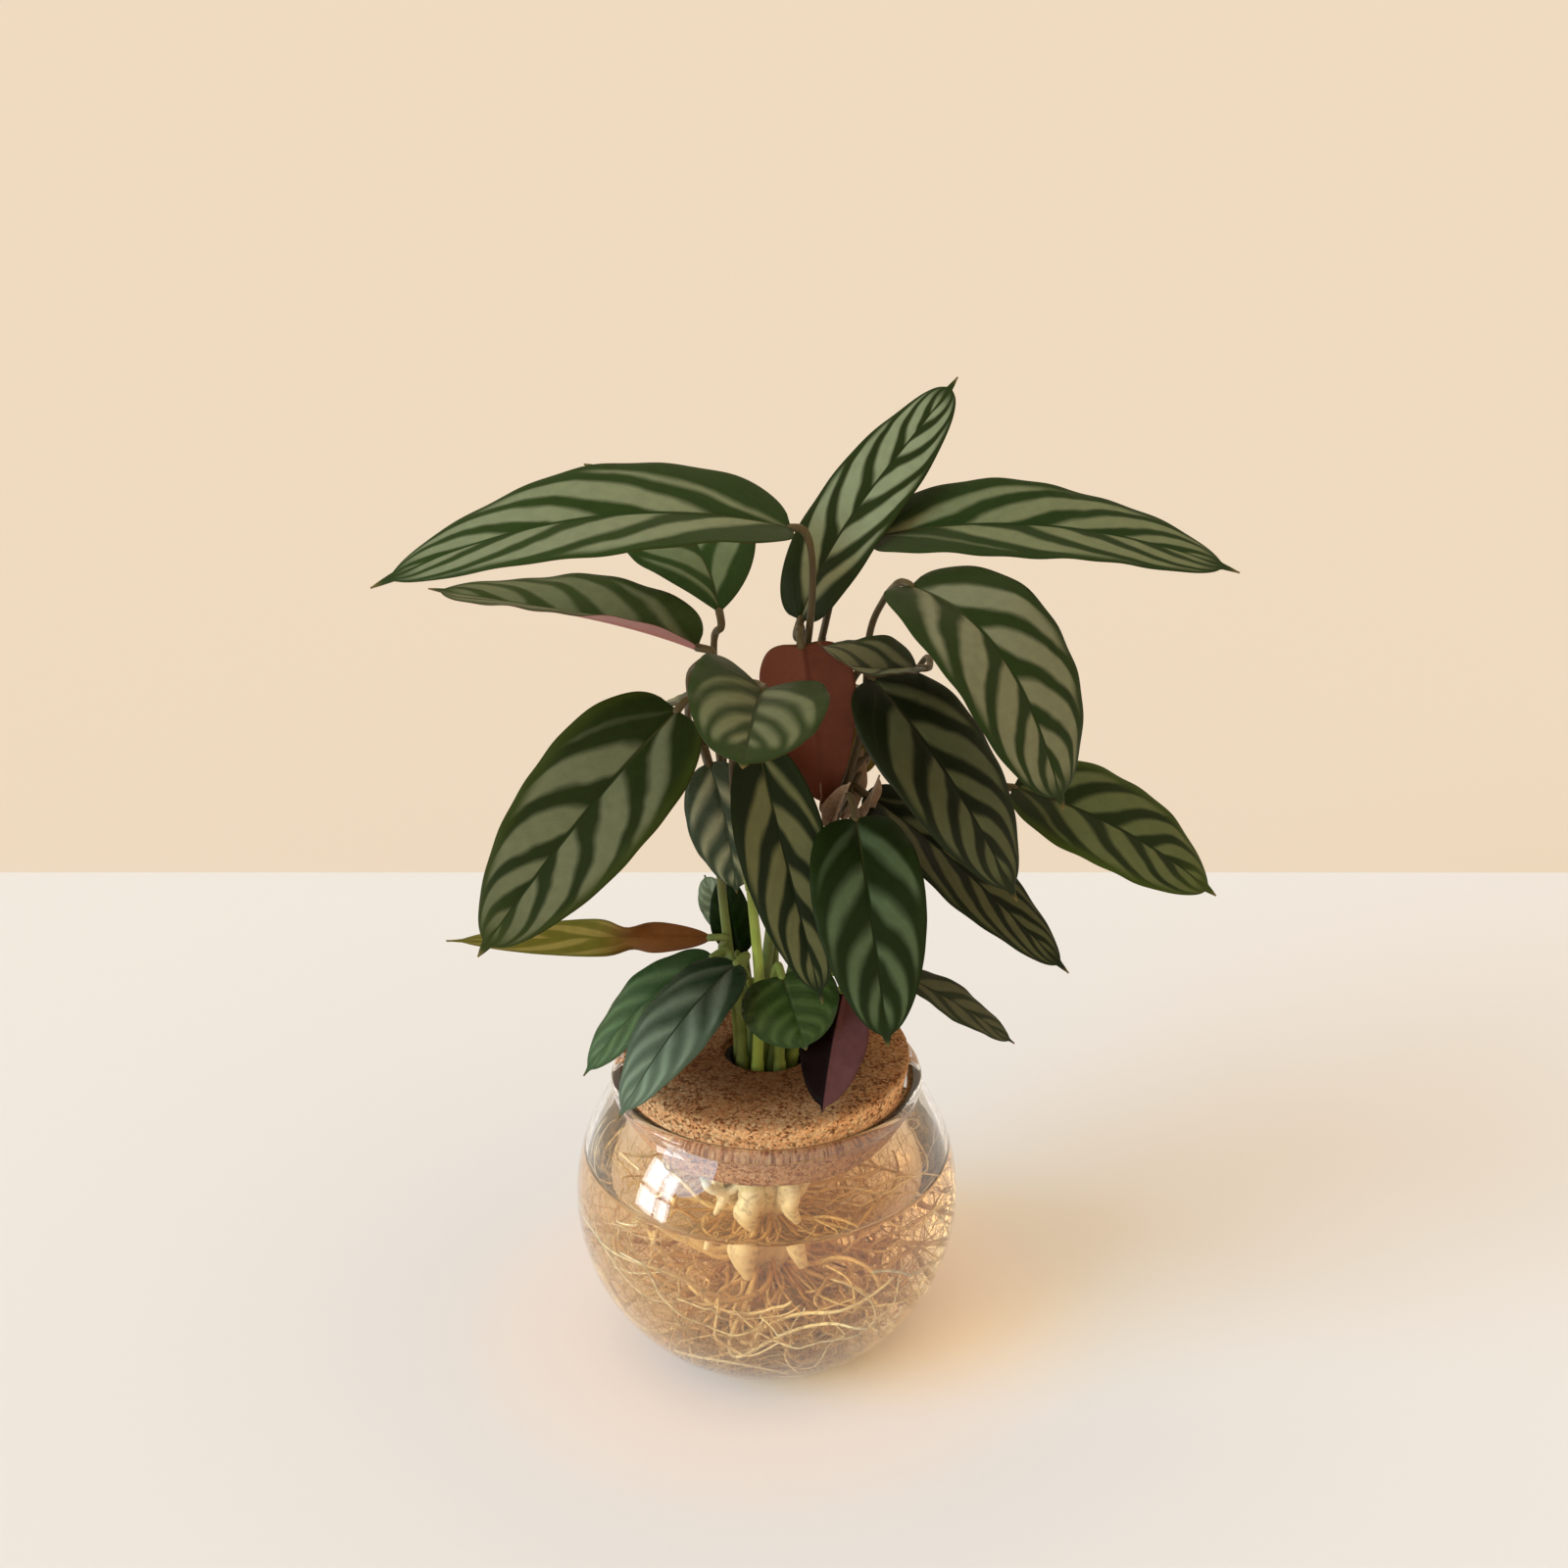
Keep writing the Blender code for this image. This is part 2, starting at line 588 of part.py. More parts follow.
def stalk(name, piece):
    """A tapered stalk, thick at the crown and slim from the collar up, with a joint below its leaf."""
    points = list(piece.points)
    if piece.leaf:
        places, ahead, _, _ = blade_frame(BLADES[piece.leaf], np.zeros(1))
        points.append(places[0] / MM - ahead[0] * 6)
        points.append(places[0] / MM - ahead[0] * 0.7)
    path = smooth_path(points, STALK_SPACING) * MM
    thick = piece.thick * MM
    height = path[:, 2]
    in_lid = np.interp(height, [CANE_SWELL_TOP, CANE_SLIM_FROM], [thick, CANE_RADIUS])
    in_air = np.linspace(min(thick, CANE_RADIUS), piece.thin * MM, len(path))
    radii = np.where(height < CORK_TOP, in_lid, in_air)
    if piece.leaf:
        radii[-2:] = piece.thin * MM * 1.25
    return tube(name, path, radii, STALK_SIDES, "stalk")


def cane(name, stalks):
    """A cane with the leaf stalks that branch from it."""
    return fused(name, [stalk(f"{name} {i}", piece) for i, piece in enumerate(stalks)])


def root_path(draw, turn):
    """A root's route: out of the crown, down and out to the bowl's wall, then round along it."""
    t = np.linspace(0, 1, ROOT_STEPS)
    reach = ROOT_START + (ROOT_REACH * draw.uniform(0.75, 1) - ROOT_START) * np.sin(t * math.pi / 2) ** 0.8
    around = turn + draw.uniform(-1.6, 1.6) * t**1.6 + 0.12 * np.sin(t * 9 + turn)
    up_angle = np.radians(draw.uniform(95, 150) + draw.uniform(-35, 35) * t)
    x = reach * np.sin(up_angle) * np.cos(around)
    y = reach * np.sin(up_angle) * np.sin(around)
    z = BOWL_CENTRE - 0.010 * (1 - t) + reach * np.cos(up_angle)
    return np.stack([x, y, z.clip(ROOT_LOW, WATER_LEVEL - 0.004)], 1)


def crown_core():
    """The middle of the crown: a tuber, narrow at the bottom, that every stem base grows from."""
    heights = np.linspace(CROWN_BOTTOM, CROWN_TOP - 0.004, 5)
    path = np.stack([0 * heights, 0 * heights, heights], 1)
    radii = np.interp(heights, [CROWN_BOTTOM, CROWN_BOTTOM + 0.012, CROWN_TOP], [0.004, 0.011, 0.010])
    return tube("crown core", path, radii, CORE_SIDES, "crown")


def stem_base(name, foot, thick):
    """A cream stem base, from the bottom of the crown up to the foot of its cane."""
    x, y = foot
    top = (CROWN_TOP - GAP) / MM
    route = [(0.35 * x, 0.35 * y, top - 30), (0.85 * x, 0.85 * y, top - 16), (x, y, top - 6), (x, y, top)]
    path = smooth_path(route, 8) * MM
    low = CROWN_BOTTOM + 0.004
    radii = np.interp(path[:, 2], [low, low + 0.017, CROWN_TOP], [0.0022, thick, 0.95 * thick])
    return tube(name, path, radii, BASE_SIDES, "crown")


def crown():
    """The cream stem bases, grown together, and the roots that spread from them."""
    pieces = [crown_core()]
    for name, stalks in CANES.items():
        pieces.append(stem_base(name + " base", stalks[0].points[0][:2], stalks[0].thick * MM))
    draw = np.random.default_rng(SEED)
    for i in range(ROOT_COUNT):
        path = root_path(draw, 2 * math.pi * (i + draw.uniform(-0.3, 0.3)) / ROOT_COUNT)
        radii = np.linspace(ROOT_RADIUS, ROOT_RADIUS * 0.6, len(path))
        pieces.append(tube(f"root {i}", path, radii, ROOT_SIDES, "crown"))
    return fused("crown_and_roots", pieces)


def build():
    clear_scene()
    glass_bowl()
    water()
    cork_lid()
    foam_collar()
    crown()
    for name, stalks in CANES.items():
        cane(name, stalks)
    for name, blade in BLADES.items():
        leaf(name, blade)


build()
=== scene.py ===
# %% [markdown]
# # A young never never plant, grown in water
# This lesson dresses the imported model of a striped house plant. It stands in a round glass bowl of
# water, its stems come up through a cork lid, and the bowl shows its roots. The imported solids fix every
# place and size. Each of them gets a finer surface here, worked out by a formula on a grid of points,
# and a finish made of nodes.

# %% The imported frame
import math
from typing import NamedTuple

import bpy
import numpy as np
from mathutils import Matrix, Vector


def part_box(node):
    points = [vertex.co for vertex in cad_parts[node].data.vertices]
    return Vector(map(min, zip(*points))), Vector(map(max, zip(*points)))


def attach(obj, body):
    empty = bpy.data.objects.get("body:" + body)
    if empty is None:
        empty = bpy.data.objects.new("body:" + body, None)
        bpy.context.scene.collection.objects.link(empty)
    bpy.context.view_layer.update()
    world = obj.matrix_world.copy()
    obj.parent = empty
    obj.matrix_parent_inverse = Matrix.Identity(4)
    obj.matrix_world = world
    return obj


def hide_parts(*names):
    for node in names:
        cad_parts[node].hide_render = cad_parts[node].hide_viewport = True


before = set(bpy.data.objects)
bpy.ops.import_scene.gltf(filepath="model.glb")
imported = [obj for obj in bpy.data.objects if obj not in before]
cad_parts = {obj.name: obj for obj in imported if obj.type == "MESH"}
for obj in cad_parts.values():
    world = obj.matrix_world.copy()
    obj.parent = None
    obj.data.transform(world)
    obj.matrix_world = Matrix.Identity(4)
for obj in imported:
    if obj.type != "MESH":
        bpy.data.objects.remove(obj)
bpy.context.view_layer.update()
MM = 0.001
print("packed nodes:", len(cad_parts))

# %% [markdown]
# ## Measures from the frame
# The bowl, its lid and the water are round about the same upright axis, so the corners of each packed
# node give its radius and its heights. Only what a box can't show, such as the thickness of the glass,
# is stated again.

# %% Measures of the bowl, the lid and the water
bowl_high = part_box("glass_bowl")[1]
cork_low, cork_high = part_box("cork_lid")
collar_low, collar_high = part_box("foam_collar")
BOWL_RADIUS = bowl_high.x
BOWL_CENTRE = 0.065
FOOT_RADIUS = 0.038
GLASS_WALL = 0.0028
NECK_RADIUS = 0.0575
MOUTH_RADIUS = 0.0544
LIP_MIDDLE = 0.0576
LIP_HALF_WIDTH = 0.0035
LIP_HALF_HEIGHT = 0.0028
LIP_HEIGHT = bowl_high.z - LIP_HALF_HEIGHT
FLOOR_HEIGHT = 0.0032
FLOOR_RADIUS = 0.037
FLOOR_DISH = 0.0008
WATER_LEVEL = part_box("water")[1].z
CORK_TOP = cork_high.z
CORK_BOTTOM = cork_low.z
CORK_TOP_RADIUS = cork_high.x
CORK_BOTTOM_RADIUS = 0.050
CORK_EDGE = 0.0018
HOLE_RADIUS = 0.0165
COLLAR_BOTTOM = collar_low.z
COLLAR_TOP = collar_high.z
CROWN_BOTTOM = 0.034
CROWN_TOP = 0.068
print("bowl radius", round(BOWL_RADIUS, 4), "water level", round(WATER_LEVEL, 4))
print("cork from", round(CORK_BOTTOM, 4), "to", round(CORK_TOP, 4))

# %% [markdown]
# ## Meshes from arrays
# Every new surface is a grid of points: rows along it and columns across it. Each could be modelled by
# hand, but a formula can be read, checked and changed. Whole arrays of points and of faces go into the
# mesh at once, which is much quicker than adding them one by one.

# %% Grids and meshes
def unit(vectors):
    """Each vector at length 1."""
    return vectors / np.linalg.norm(vectors, axis=-1, keepdims=True)


def grid_faces(rows, columns, wrap=False, first=0):
    """Quads of a grid, where point (i, j) has the number first + i * columns + j. wrap closes each row."""
    index = first + np.arange(rows * columns).reshape(rows, columns)
    if wrap:
        index = np.hstack([index, index[:, :1]])
    quads = np.stack([index[:-1, :-1], index[:-1, 1:], index[1:, 1:], index[1:, :-1]], -1)
    return quads.reshape(-1, 4)


def placed(name, data):
    """A new object of the scene."""
    made = bpy.data.objects.new(name, data)
    bpy.context.scene.collection.objects.link(made)
    return made


def new_piece(name, points, blocks, finish, node, marks=None, uv=None):
    """A smooth mesh from points and blocks of faces, which rides on the plant and replaces a node.

    marks holds one number a point under each name, and uv one pair a point.
    """
    mesh = bpy.data.meshes.new(name)
    corners = np.concatenate([block.ravel() for block in blocks]).astype(np.int32)
    sizes = np.concatenate([np.full(len(block), block.shape[1]) for block in blocks])
    mesh.vertices.add(len(points))
    mesh.vertices.foreach_set("co", np.asarray(points, np.float32).ravel())
    mesh.loops.add(len(corners))
    mesh.loops.foreach_set("vertex_index", corners)
    mesh.polygons.add(len(sizes))
    mesh.polygons.foreach_set("loop_start", (np.cumsum(sizes) - sizes).astype(np.int32))
    mesh.update(calc_edges=True)
    for mark, values in (marks or {}).items():
        layer = mesh.attributes.new(mark, "FLOAT", "POINT")
        layer.data.foreach_set("value", np.asarray(values, np.float32).ravel())
    if uv is not None:
        layer = mesh.uv_layers.new(name="leaf")
        layer.data.foreach_set("uv", np.asarray(uv, np.float32)[corners].ravel())
    mesh.validate()
    mesh.shade_smooth()
    mesh.materials.append(finish)
    made = placed(name, mesh)
    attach(made, "root")
    if node:
        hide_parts(node)
    return made


print("a grid of 3 by 4 points has", len(grid_faces(3, 4)), "faces")

# %% [markdown]
# ## Uneven surfaces
# Cork and foam are uneven down to the grain. A smooth random height stands for that. It is worked out
# from the place of a point alone, so the way that the mesh is laid out doesn't show, and a seed makes
# it the same on each run.

# %% Smooth random heights
def rough(points, size, seed):
    """A smooth random height from -1 to 1, with bumps of about this size.

    A cubic lattice has a random value at each corner. Between corners, with t the way along a cell,
    the values are blended by t * t * (3 - 2 * t) on each axis.
    """
    values = np.random.default_rng(seed).uniform(-1, 1, 4096)
    places = np.asarray(points) / size
    corner = np.floor(places).astype(np.int64)
    t = places - corner
    t = t * t * (3 - 2 * t)
    total = np.zeros(places.shape[:-1])
    for step in np.ndindex(2, 2, 2):
        near = corner + step
        key = (near[..., 0] * 73856093) ^ (near[..., 1] * 19349663) ^ (near[..., 2] * 83492791)
        weight = np.where(step, t, 1 - t).prod(-1)
        total += weight * values[key % 4096]
    return total


sample = rough(np.linspace((0, 0, 0), (1, 1, 1), 1000), 0.1, 1)
print("smooth heights from", sample.min().round(2), "to", sample.max().round(2))

# %% [markdown]
# ## Round pieces
# Glass, water, cork and foam are turned about the upright axis. A profile of radii and heights is
# spaced evenly first, so that its facets are all of one size, and then carried round in a circle. A
# point on the axis closes the surface with a fan of triangles.

# %% Profiles
def run_along(points):
    """How far each point lies along the straight line from point to point."""
    return np.concatenate([[0], np.cumsum(np.linalg.norm(np.diff(points, axis=0), axis=1))])


def even(profile, spacing):
    """The profile's points (r, z) at an even spacing along it: linear between the given ones."""
    profile = np.asarray(profile, float)
    run = run_along(profile)
    places = np.linspace(0, run[-1], int(run[-1] / spacing) + 2)
    return np.stack([np.interp(places, run, profile[:, i]) for i in range(2)], 1)


def arc(centre, radius, start, end, steps=48):
    """Points r = radius * sin(a), z = centre - radius * cos(a), with the angle a from straight down."""
    angles = np.linspace(start, end, steps)
    return np.stack([radius * np.sin(angles), centre - radius * np.cos(angles)], 1)


def eased(profile, passes, above):
    """The profile with each point above a height moved to the mean of itself and its neighbours."""
    profile = profile.copy()
    for _ in range(passes):
        mean = (profile[:-2] + 2 * profile[1:-1] + profile[2:]) / 4
        profile[1:-1] = np.where(profile[1:-1, 1:] > above, mean, profile[1:-1])
    return profile


print("a quarter circle of 10 mm, at every 2 mm:", len(even(arc(0, 10, 0, math.pi / 2), 2)), "points")

# %% Turned surfaces
def turned(name, profile, steps, finish, node, closed=False, relief=None):
    """The surface (r cos a, r sin a, z) of a profile, which runs up the outside and down the inside.

    closed joins its last ring to its first. Otherwise both ends lie on the axis. relief gives a height
    out of the surface at each point.
    """
    rings = profile if closed else profile[1:-1]
    angles = np.arange(steps) * 2 * math.pi / steps
    radius, height = rings[:, :1], rings[:, 1:]
    level = np.zeros(steps)
    points = np.stack([radius * np.cos(angles), radius * np.sin(angles), height + level], -1)
    if relief:
        run = unit(np.roll(rings, -1, 0) - np.roll(rings, 1, 0))
        along, up = run[:, :1], run[:, 1:]
        out = np.stack([up * np.cos(angles), up * np.sin(angles), level - along], -1)
        points = points + out * relief(points)[..., None]
    count = len(rings)
    blocks = [grid_faces(count, steps, wrap=True)]
    points = points.reshape(-1, 3)
    ring = np.arange(steps)
    after = np.roll(ring, -1)
    last = (count - 1) * steps
    if closed:
        blocks.append(np.stack([last + ring, last + after, after, ring], 1))
    else:
        ends = [[0, 0, profile[0, 1]], [0, 0, profile[-1, 1]]]
        points = np.vstack([points, ends])
        low, high = len(points) - 2, len(points) - 1
        blocks.append(np.stack([np.full(steps, low), after, ring], 1))
        blocks.append(np.stack([last + ring, last + after, np.full(steps, high)], 1))
    return new_piece(name, points, blocks, finish, node)


# %% [markdown]
# ## Finishes from nodes
# A finish is a small sum: numbers are read from the surface, combined, and turned into a colour. The
# class below adds one node for each step and hands back its output, so that a finish reads like a
# formula: less(1.0, edge) is 1 - edge, and scaled(edge, 2.0, -1.0) is 2 * edge - 1.

# %% A class that writes node formulas
class Finish:
    """A material with a Principled shader, and one method for each kind of step in its formula."""

    def __init__(self, name, colour=(0.5, 0.5, 0.5), roughness=0.5, gloss=0.5):
        self.material = bpy.data.materials.new(name)
        self.material.use_nodes = True
        self.tree = self.material.node_tree
        self.shader = self.tree.nodes["Principled BSDF"]
        self.shader.inputs["Base Color"].default_value = (*colour, 1)
        self.shader.inputs["Roughness"].default_value = roughness
        self.shader.inputs["Specular IOR Level"].default_value = gloss

    def put(self, socket, value):
        """Links an output to a socket, or sets a plain number or colour there."""
        if isinstance(value, bpy.types.NodeSocket):
            self.tree.links.new(value, socket)
        elif isinstance(value, tuple) and len(value) == 3 and len(socket.default_value) == 4:
            socket.default_value = (*value, 1)
        else:
            socket.default_value = value

    def add(self, kind, sockets, **settings):
        """A new node of a kind, with its settings, and a value put into each socket named or numbered."""
        made = self.tree.nodes.new("ShaderNode" + kind)
        for setting, value in settings.items():
            setattr(made, setting, value)
        for socket, value in sockets.items():
            self.put(made.inputs[socket], value)
        return made

    def maths(self, operation, *values):
        """A math node, such as SINE or MAXIMUM, on one to three values."""
        return self.add("Math", dict(enumerate(values)), operation=operation).outputs[0]

    def plus(self, value, other):
        """The sum of two numbers."""
        return self.maths("ADD", value, other)

    def less(self, value, other):
        """The first number without the second."""
        return self.maths("SUBTRACT", value, other)

    def times(self, value, other):
        """The product of two numbers."""
        return self.maths("MULTIPLY", value, other)

    def scaled(self, value, factor, offset):
        """value * factor + offset."""
        return self.maths("MULTIPLY_ADD", value, factor, offset)

    def rise(self, value, low, high):
        """0 below low and 1 above high, smooth between them. It falls instead where high is the lower."""
        sockets = {"Value": value, "From Min": low, "From Max": high}
        return self.add("MapRange", sockets, interpolation_type="SMOOTHSTEP").outputs["Result"]

    def mix(self, share, first, second):
        """The first colour where share is 0, and the second where it is 1."""
        return self.add("Mix", {0: share, 6: first, 7: second}, data_type="RGBA").outputs[2]

    def place(self):
        """The point on the object, in metres."""
        return self.add("TexCoord", {}).outputs["Object"]

    def radius(self, place):
        """How far a point lies from the upright axis."""
        flat = self.add("VectorMath", {0: place, 1: (1.0, 1.0, 0.0)}, operation="MULTIPLY")
        return self.add("VectorMath", {0: flat.outputs[0]}, operation="LENGTH").outputs["Value"]

    def split(self, vector):
        """The three numbers of a vector."""
        return tuple(self.add("SeparateXYZ", {0: vector}).outputs)

    def mark(self, name):
        """A number that the mesh holds at each point."""
        return self.add("Attribute", {}, attribute_name=name).outputs["Fac"]

    def noise(self, place, scale, detail=2.0):
        """A soft random number about 0.5, with patches of about 1 / scale metres."""
        return self.add("TexNoise", {"Vector": place, "Scale": scale, "Detail": detail}).outputs["Fac"]

    def cells(self, place, scale):
        """A texture of cells: its outputs are the distance, and a random colour for each cell."""
        return self.add("TexVoronoi", {"Vector": place, "Scale": scale}).outputs

    def bump(self, height, distance, strength=1.0):
        """Small relief from a height, on the shader's normal."""
        made = self.add("Bump", {"Strength": strength, "Distance": distance, "Height": height})
        self.put(self.shader.inputs["Normal"], made.outputs[0])

    def colour(self, value):
        """Gives the shader its colour."""
        self.put(self.shader.inputs["Base Color"], value)

    def roughness(self, value):
        """Gives the shader its roughness."""
        self.put(self.shader.inputs["Roughness"], value)


def toned(colour, factor):
    """A colour made lighter or darker."""
    return tuple(factor * part for part in colour)


# %% [markdown]
# ## Clear glass
# Blown glass has hardly any colour, so all that is seen of it is what it bends and mirrors. A glass
# shader is right for the eye, but it would put the roots in deep shade, because light samples can't
# find a lamp through it. For shadow rays alone the glass is mixed with a plain clear shader, which lets
# the light straight through. The glass and the water bend light less than real ones do, because at the
# real index the lip and the shoulders trap their light and look black. A clear coat gives the glass
# back the gloss that the low index takes from it.

# %% Finishes of the glass and the water
GLASS_INDEX = 1.18
GLASS_SHADE = (0.99, 0.97, 0.93)
WATER_INDEX = 1.22
WATER_SHADE = (1.0, 0.90, 0.74)
WATER_COLOUR = (0.99, 0.73, 0.30)
WATER_DEPTH = 15.0


def clear(name, index, shade, coat=0):
    """Smooth clear material that bends light by its index, and tints the light that it lets through."""
    finish = Finish(name, (1, 1, 1), 0)
    finish.shader.inputs["Transmission Weight"].default_value = 1
    finish.shader.inputs["IOR"].default_value = index
    finish.shader.inputs["Coat Weight"].default_value = coat
    finish.shader.inputs["Coat Roughness"].default_value = 0
    shadow = finish.add("LightPath", {}).outputs["Is Shadow Ray"]
    through = finish.add("BsdfTransparent", {"Color": shade}).outputs[0]
    either = finish.add("MixShader", {0: shadow, 1: finish.shader.outputs[0], 2: through})
    finish.put(finish.tree.nodes["Material Output"].inputs["Surface"], either.outputs[0])
    return finish


glass = clear("clear_glass", GLASS_INDEX, GLASS_SHADE, coat=1)
pool = clear("root_water", WATER_INDEX, WATER_SHADE)
tint = pool.add("VolumeAbsorption", {"Color": WATER_COLOUR, "Density": WATER_DEPTH})
pool.put(pool.tree.nodes["Material Output"].inputs["Volume"], tint.outputs[0])
print("finishes:", glass.material.name, "and", pool.material.name)

# %% [markdown]
# ## The bowl
# The real bowl is blown in one piece: a sphere on a small flat foot, which closes in to a neck and ends
# in a rolled, fire-polished lip. The profile is made of arcs, and its corners at the neck are eased
# into soft curves, as hot glass leaves them.

# %% The glass bowl
ROUND_STEPS = 128
BOWL_SPACING = 0.0011
NECK_PASSES = 6
NECK_HEIGHT = 0.104
DISH_RADIUS = 0.75 * FLOOR_RADIUS
DISH_HEIGHT = 0.4 * FLOOR_DISH
BEAD_TURN = (-50, 215)
inner_radius = BOWL_RADIUS - GLASS_WALL
foot_angle = math.asin(FOOT_RADIUS / BOWL_RADIUS)
neck_angle = math.pi - math.asin(NECK_RADIUS / BOWL_RADIUS)
mouth_angle = math.pi - math.asin(MOUTH_RADIUS / inner_radius)
floor_angle = math.asin(FLOOR_RADIUS / inner_radius)
outside = arc(BOWL_CENTRE, BOWL_RADIUS, foot_angle, neck_angle)
outside[0, 1] = 0
bead = np.radians(np.linspace(*BEAD_TURN, 40))[:, None]
lip_middle = np.array([LIP_MIDDLE, LIP_HEIGHT])
lip = lip_middle + np.hstack([LIP_HALF_WIDTH * np.cos(bead), LIP_HALF_HEIGHT * np.sin(bead)])
inside = arc(BOWL_CENTRE, inner_radius, mouth_angle, floor_angle)
bowl_floor = [(DISH_RADIUS, FLOOR_HEIGHT + DISH_HEIGHT), (0, FLOOR_HEIGHT)]
bowl_profile = even(np.vstack([[(0, 0)], outside, lip, inside, bowl_floor]), BOWL_SPACING)
bowl_profile = eased(bowl_profile, NECK_PASSES, NECK_HEIGHT)
bowl = turned("bowl_of_blown_glass", bowl_profile, ROUND_STEPS, glass.material, "glass_bowl")
print("bowl faces:", len(bowl.data.polygons))

# %% [markdown]
# ## The water
# Water clings to glass, so its surface climbs a little at the wall. That rim is what shows the water
# line as a thin dark ring. The outside of the water lies slightly inside the wall of the glass: two
# clear surfaces in the very same place would flicker, and a gap would mirror like a film of air.

# %% The water
WATER_OVERLAP = 0.0005
MENISCUS_HEIGHT = 0.0016
MENISCUS_REACH = 0.0020
WATER_SPACING = 0.0014
water_radius = inner_radius + WATER_OVERLAP
water_line = math.acos((BOWL_CENTRE - WATER_LEVEL - MENISCUS_HEIGHT) / water_radius)
below = arc(BOWL_CENTRE, water_radius, floor_angle, water_line)
edge = below[-1, 0]
inwards = np.linspace(0, 6 * MENISCUS_REACH, 24)
surface = np.stack([edge - inwards, WATER_LEVEL + MENISCUS_HEIGHT * np.exp(-inwards / MENISCUS_REACH)], 1)
water_floor = FLOOR_HEIGHT - WATER_OVERLAP
bottom = [(0, water_floor), (DISH_RADIUS, water_floor + DISH_HEIGHT)]
water_profile = even(np.vstack([bottom, below, surface[1:], [(0, WATER_LEVEL)]]), WATER_SPACING)
water = turned("water_in_bowl", water_profile, ROUND_STEPS, pool.material, "water")
print("water faces:", len(water.data.polygons))

# %% [markdown]
# ## Cork
# The lid is pressed from cork granules. Each granule has its own brown, a few are nearly black, and the
# pressed surface has small pits. Cells of a Voronoi texture, bent by noise so that they aren't neat
# polygons, give the colours. The pits are real relief in the mesh. The top is painted darker towards
# the stems, a painted shadow of the leaves, and the side turns redder and plainer where it sits in the
# neck of the bowl.

# %% The finish of the cork
def cork_finish():
    """Granules of two sizes, specks, grain and creases, then the side in the neck and a painted shadow on the
    top.
    """
    finish = Finish("pressed_cork", roughness=0.85, gloss=0.07)
    place = finish.place()
    uneven = finish.add("TexNoise", {"Scale": 420, "Vector": place}).outputs["Color"]
    bent = {0: uneven, 1: (0.0016, 0.0016, 0.0016), 2: place}
    moved = finish.add("VectorMath", bent, operation="MULTIPLY_ADD").outputs[0]
    granules = finish.cells(moved, 680)
    specks = finish.cells(moved, 1150)
    tone, other, _ = finish.split(granules["Color"])
    pick, shade, _ = finish.split(specks["Color"])
    tone = finish.scaled(shade, 0.5, finish.times(tone, 0.5))
    base = finish.mix(tone, (0.86, 0.37, 0.14), (1.0, 0.66, 0.33))
    coarse = finish.rise(finish.noise(place, 190, 2), 0.38, 0.62)
    dark = finish.rise(finish.scaled(coarse, 0.12, pick), 0.90, 0.96)
    base = finish.mix(dark, base, (0.27, 0.095, 0.034))
    base = finish.mix(finish.rise(other, 0.85, 0.91), base, (1.0, 0.65, 0.32))
    grain = finish.noise(place, 1500, 3)
    grained = finish.mix(0.35, base, (0.14, 0.050, 0.018))
    base = finish.mix(finish.rise(grain, 0.30, 0.60), grained, base)
    creases = finish.rise(granules["Distance"], 0.48, 0.72)
    deep = finish.times(creases, finish.scaled(coarse, 0.50, 0.25))
    base = finish.mix(deep, base, (0.11, 0.036, 0.011))
    _, _, height = finish.split(place)
    in_neck = finish.rise(height, LIP_HEIGHT + 0.0015, LIP_HEIGHT - 0.0015)
    base = finish.mix(finish.times(in_neck, 0.5), base, (0.32, 0.075, 0.022))
    # Painted shadow: the top is darkened, most towards the stems, for the shade of the leaves above it.
    outwards = finish.rise(finish.radius(place), HOLE_RADIUS + 0.010, CORK_TOP_RADIUS - 0.002)
    leaf_shade = finish.scaled(outwards, -0.33, 0.81)
    top = finish.times(finish.rise(height, CORK_TOP - 0.0040, CORK_TOP - 0.0008), leaf_shade)
    finish.colour(finish.mix(top, base, (0.066, 0.019, 0.004)))
    finish.bump(finish.less(grain, granules["Distance"]), 0.0005, 0.9)
    return finish.material


# %% [markdown]
# ## The lid
# The lid is a disc with a round hole for the stems, and its tapered side wedges it in the neck of the
# bowl. A cylinder with a bevel would do for its form. It is turned from a profile like the glass,
# because the relief can then move each point straight out of the surface, on the rounded rim too.

# %% The cork lid
def cork_relief(points):
    """Granules stand out by up to 0.12 mm, and pits of 1 to 2 mm go 0.35 mm deep."""
    granules = 0.00012 * rough(points, 0.0016, 1)
    pits = np.clip(rough(points, 0.0022, 2) - 0.45, 0, 1)
    return granules - 0.0009 * pits


HOLE_EDGE = 0.0004
FINE_SPACING = 0.0009
CORK_STEPS = 280
slope = (CORK_TOP_RADIUS - CORK_BOTTOM_RADIUS) / (CORK_TOP - CORK_BOTTOM)
cork_side_top = CORK_TOP_RADIUS - slope * CORK_EDGE
quarter = np.linspace(0, math.pi / 2, 8)[:, None]
rim_centre = np.array([cork_side_top - CORK_EDGE, CORK_TOP - CORK_EDGE])
rim = rim_centre + CORK_EDGE * np.hstack([np.cos(quarter), np.sin(quarter)])
cork_profile = np.vstack([
    [(HOLE_RADIUS, CORK_BOTTOM), (CORK_BOTTOM_RADIUS - CORK_EDGE / 2, CORK_BOTTOM)],
    [(CORK_BOTTOM_RADIUS, CORK_BOTTOM + CORK_EDGE / 2)],
    rim,
    [(HOLE_RADIUS + HOLE_EDGE, CORK_TOP), (HOLE_RADIUS, CORK_TOP - HOLE_EDGE), (HOLE_RADIUS, CORK_BOTTOM)],
])
cork_rings = even(cork_profile, FINE_SPACING)[:-1]
cork = turned("pressed_cork_lid", cork_rings, CORK_STEPS, cork_finish(), "cork_lid", True, cork_relief)
print("cork faces:", len(cork.data.polygons))

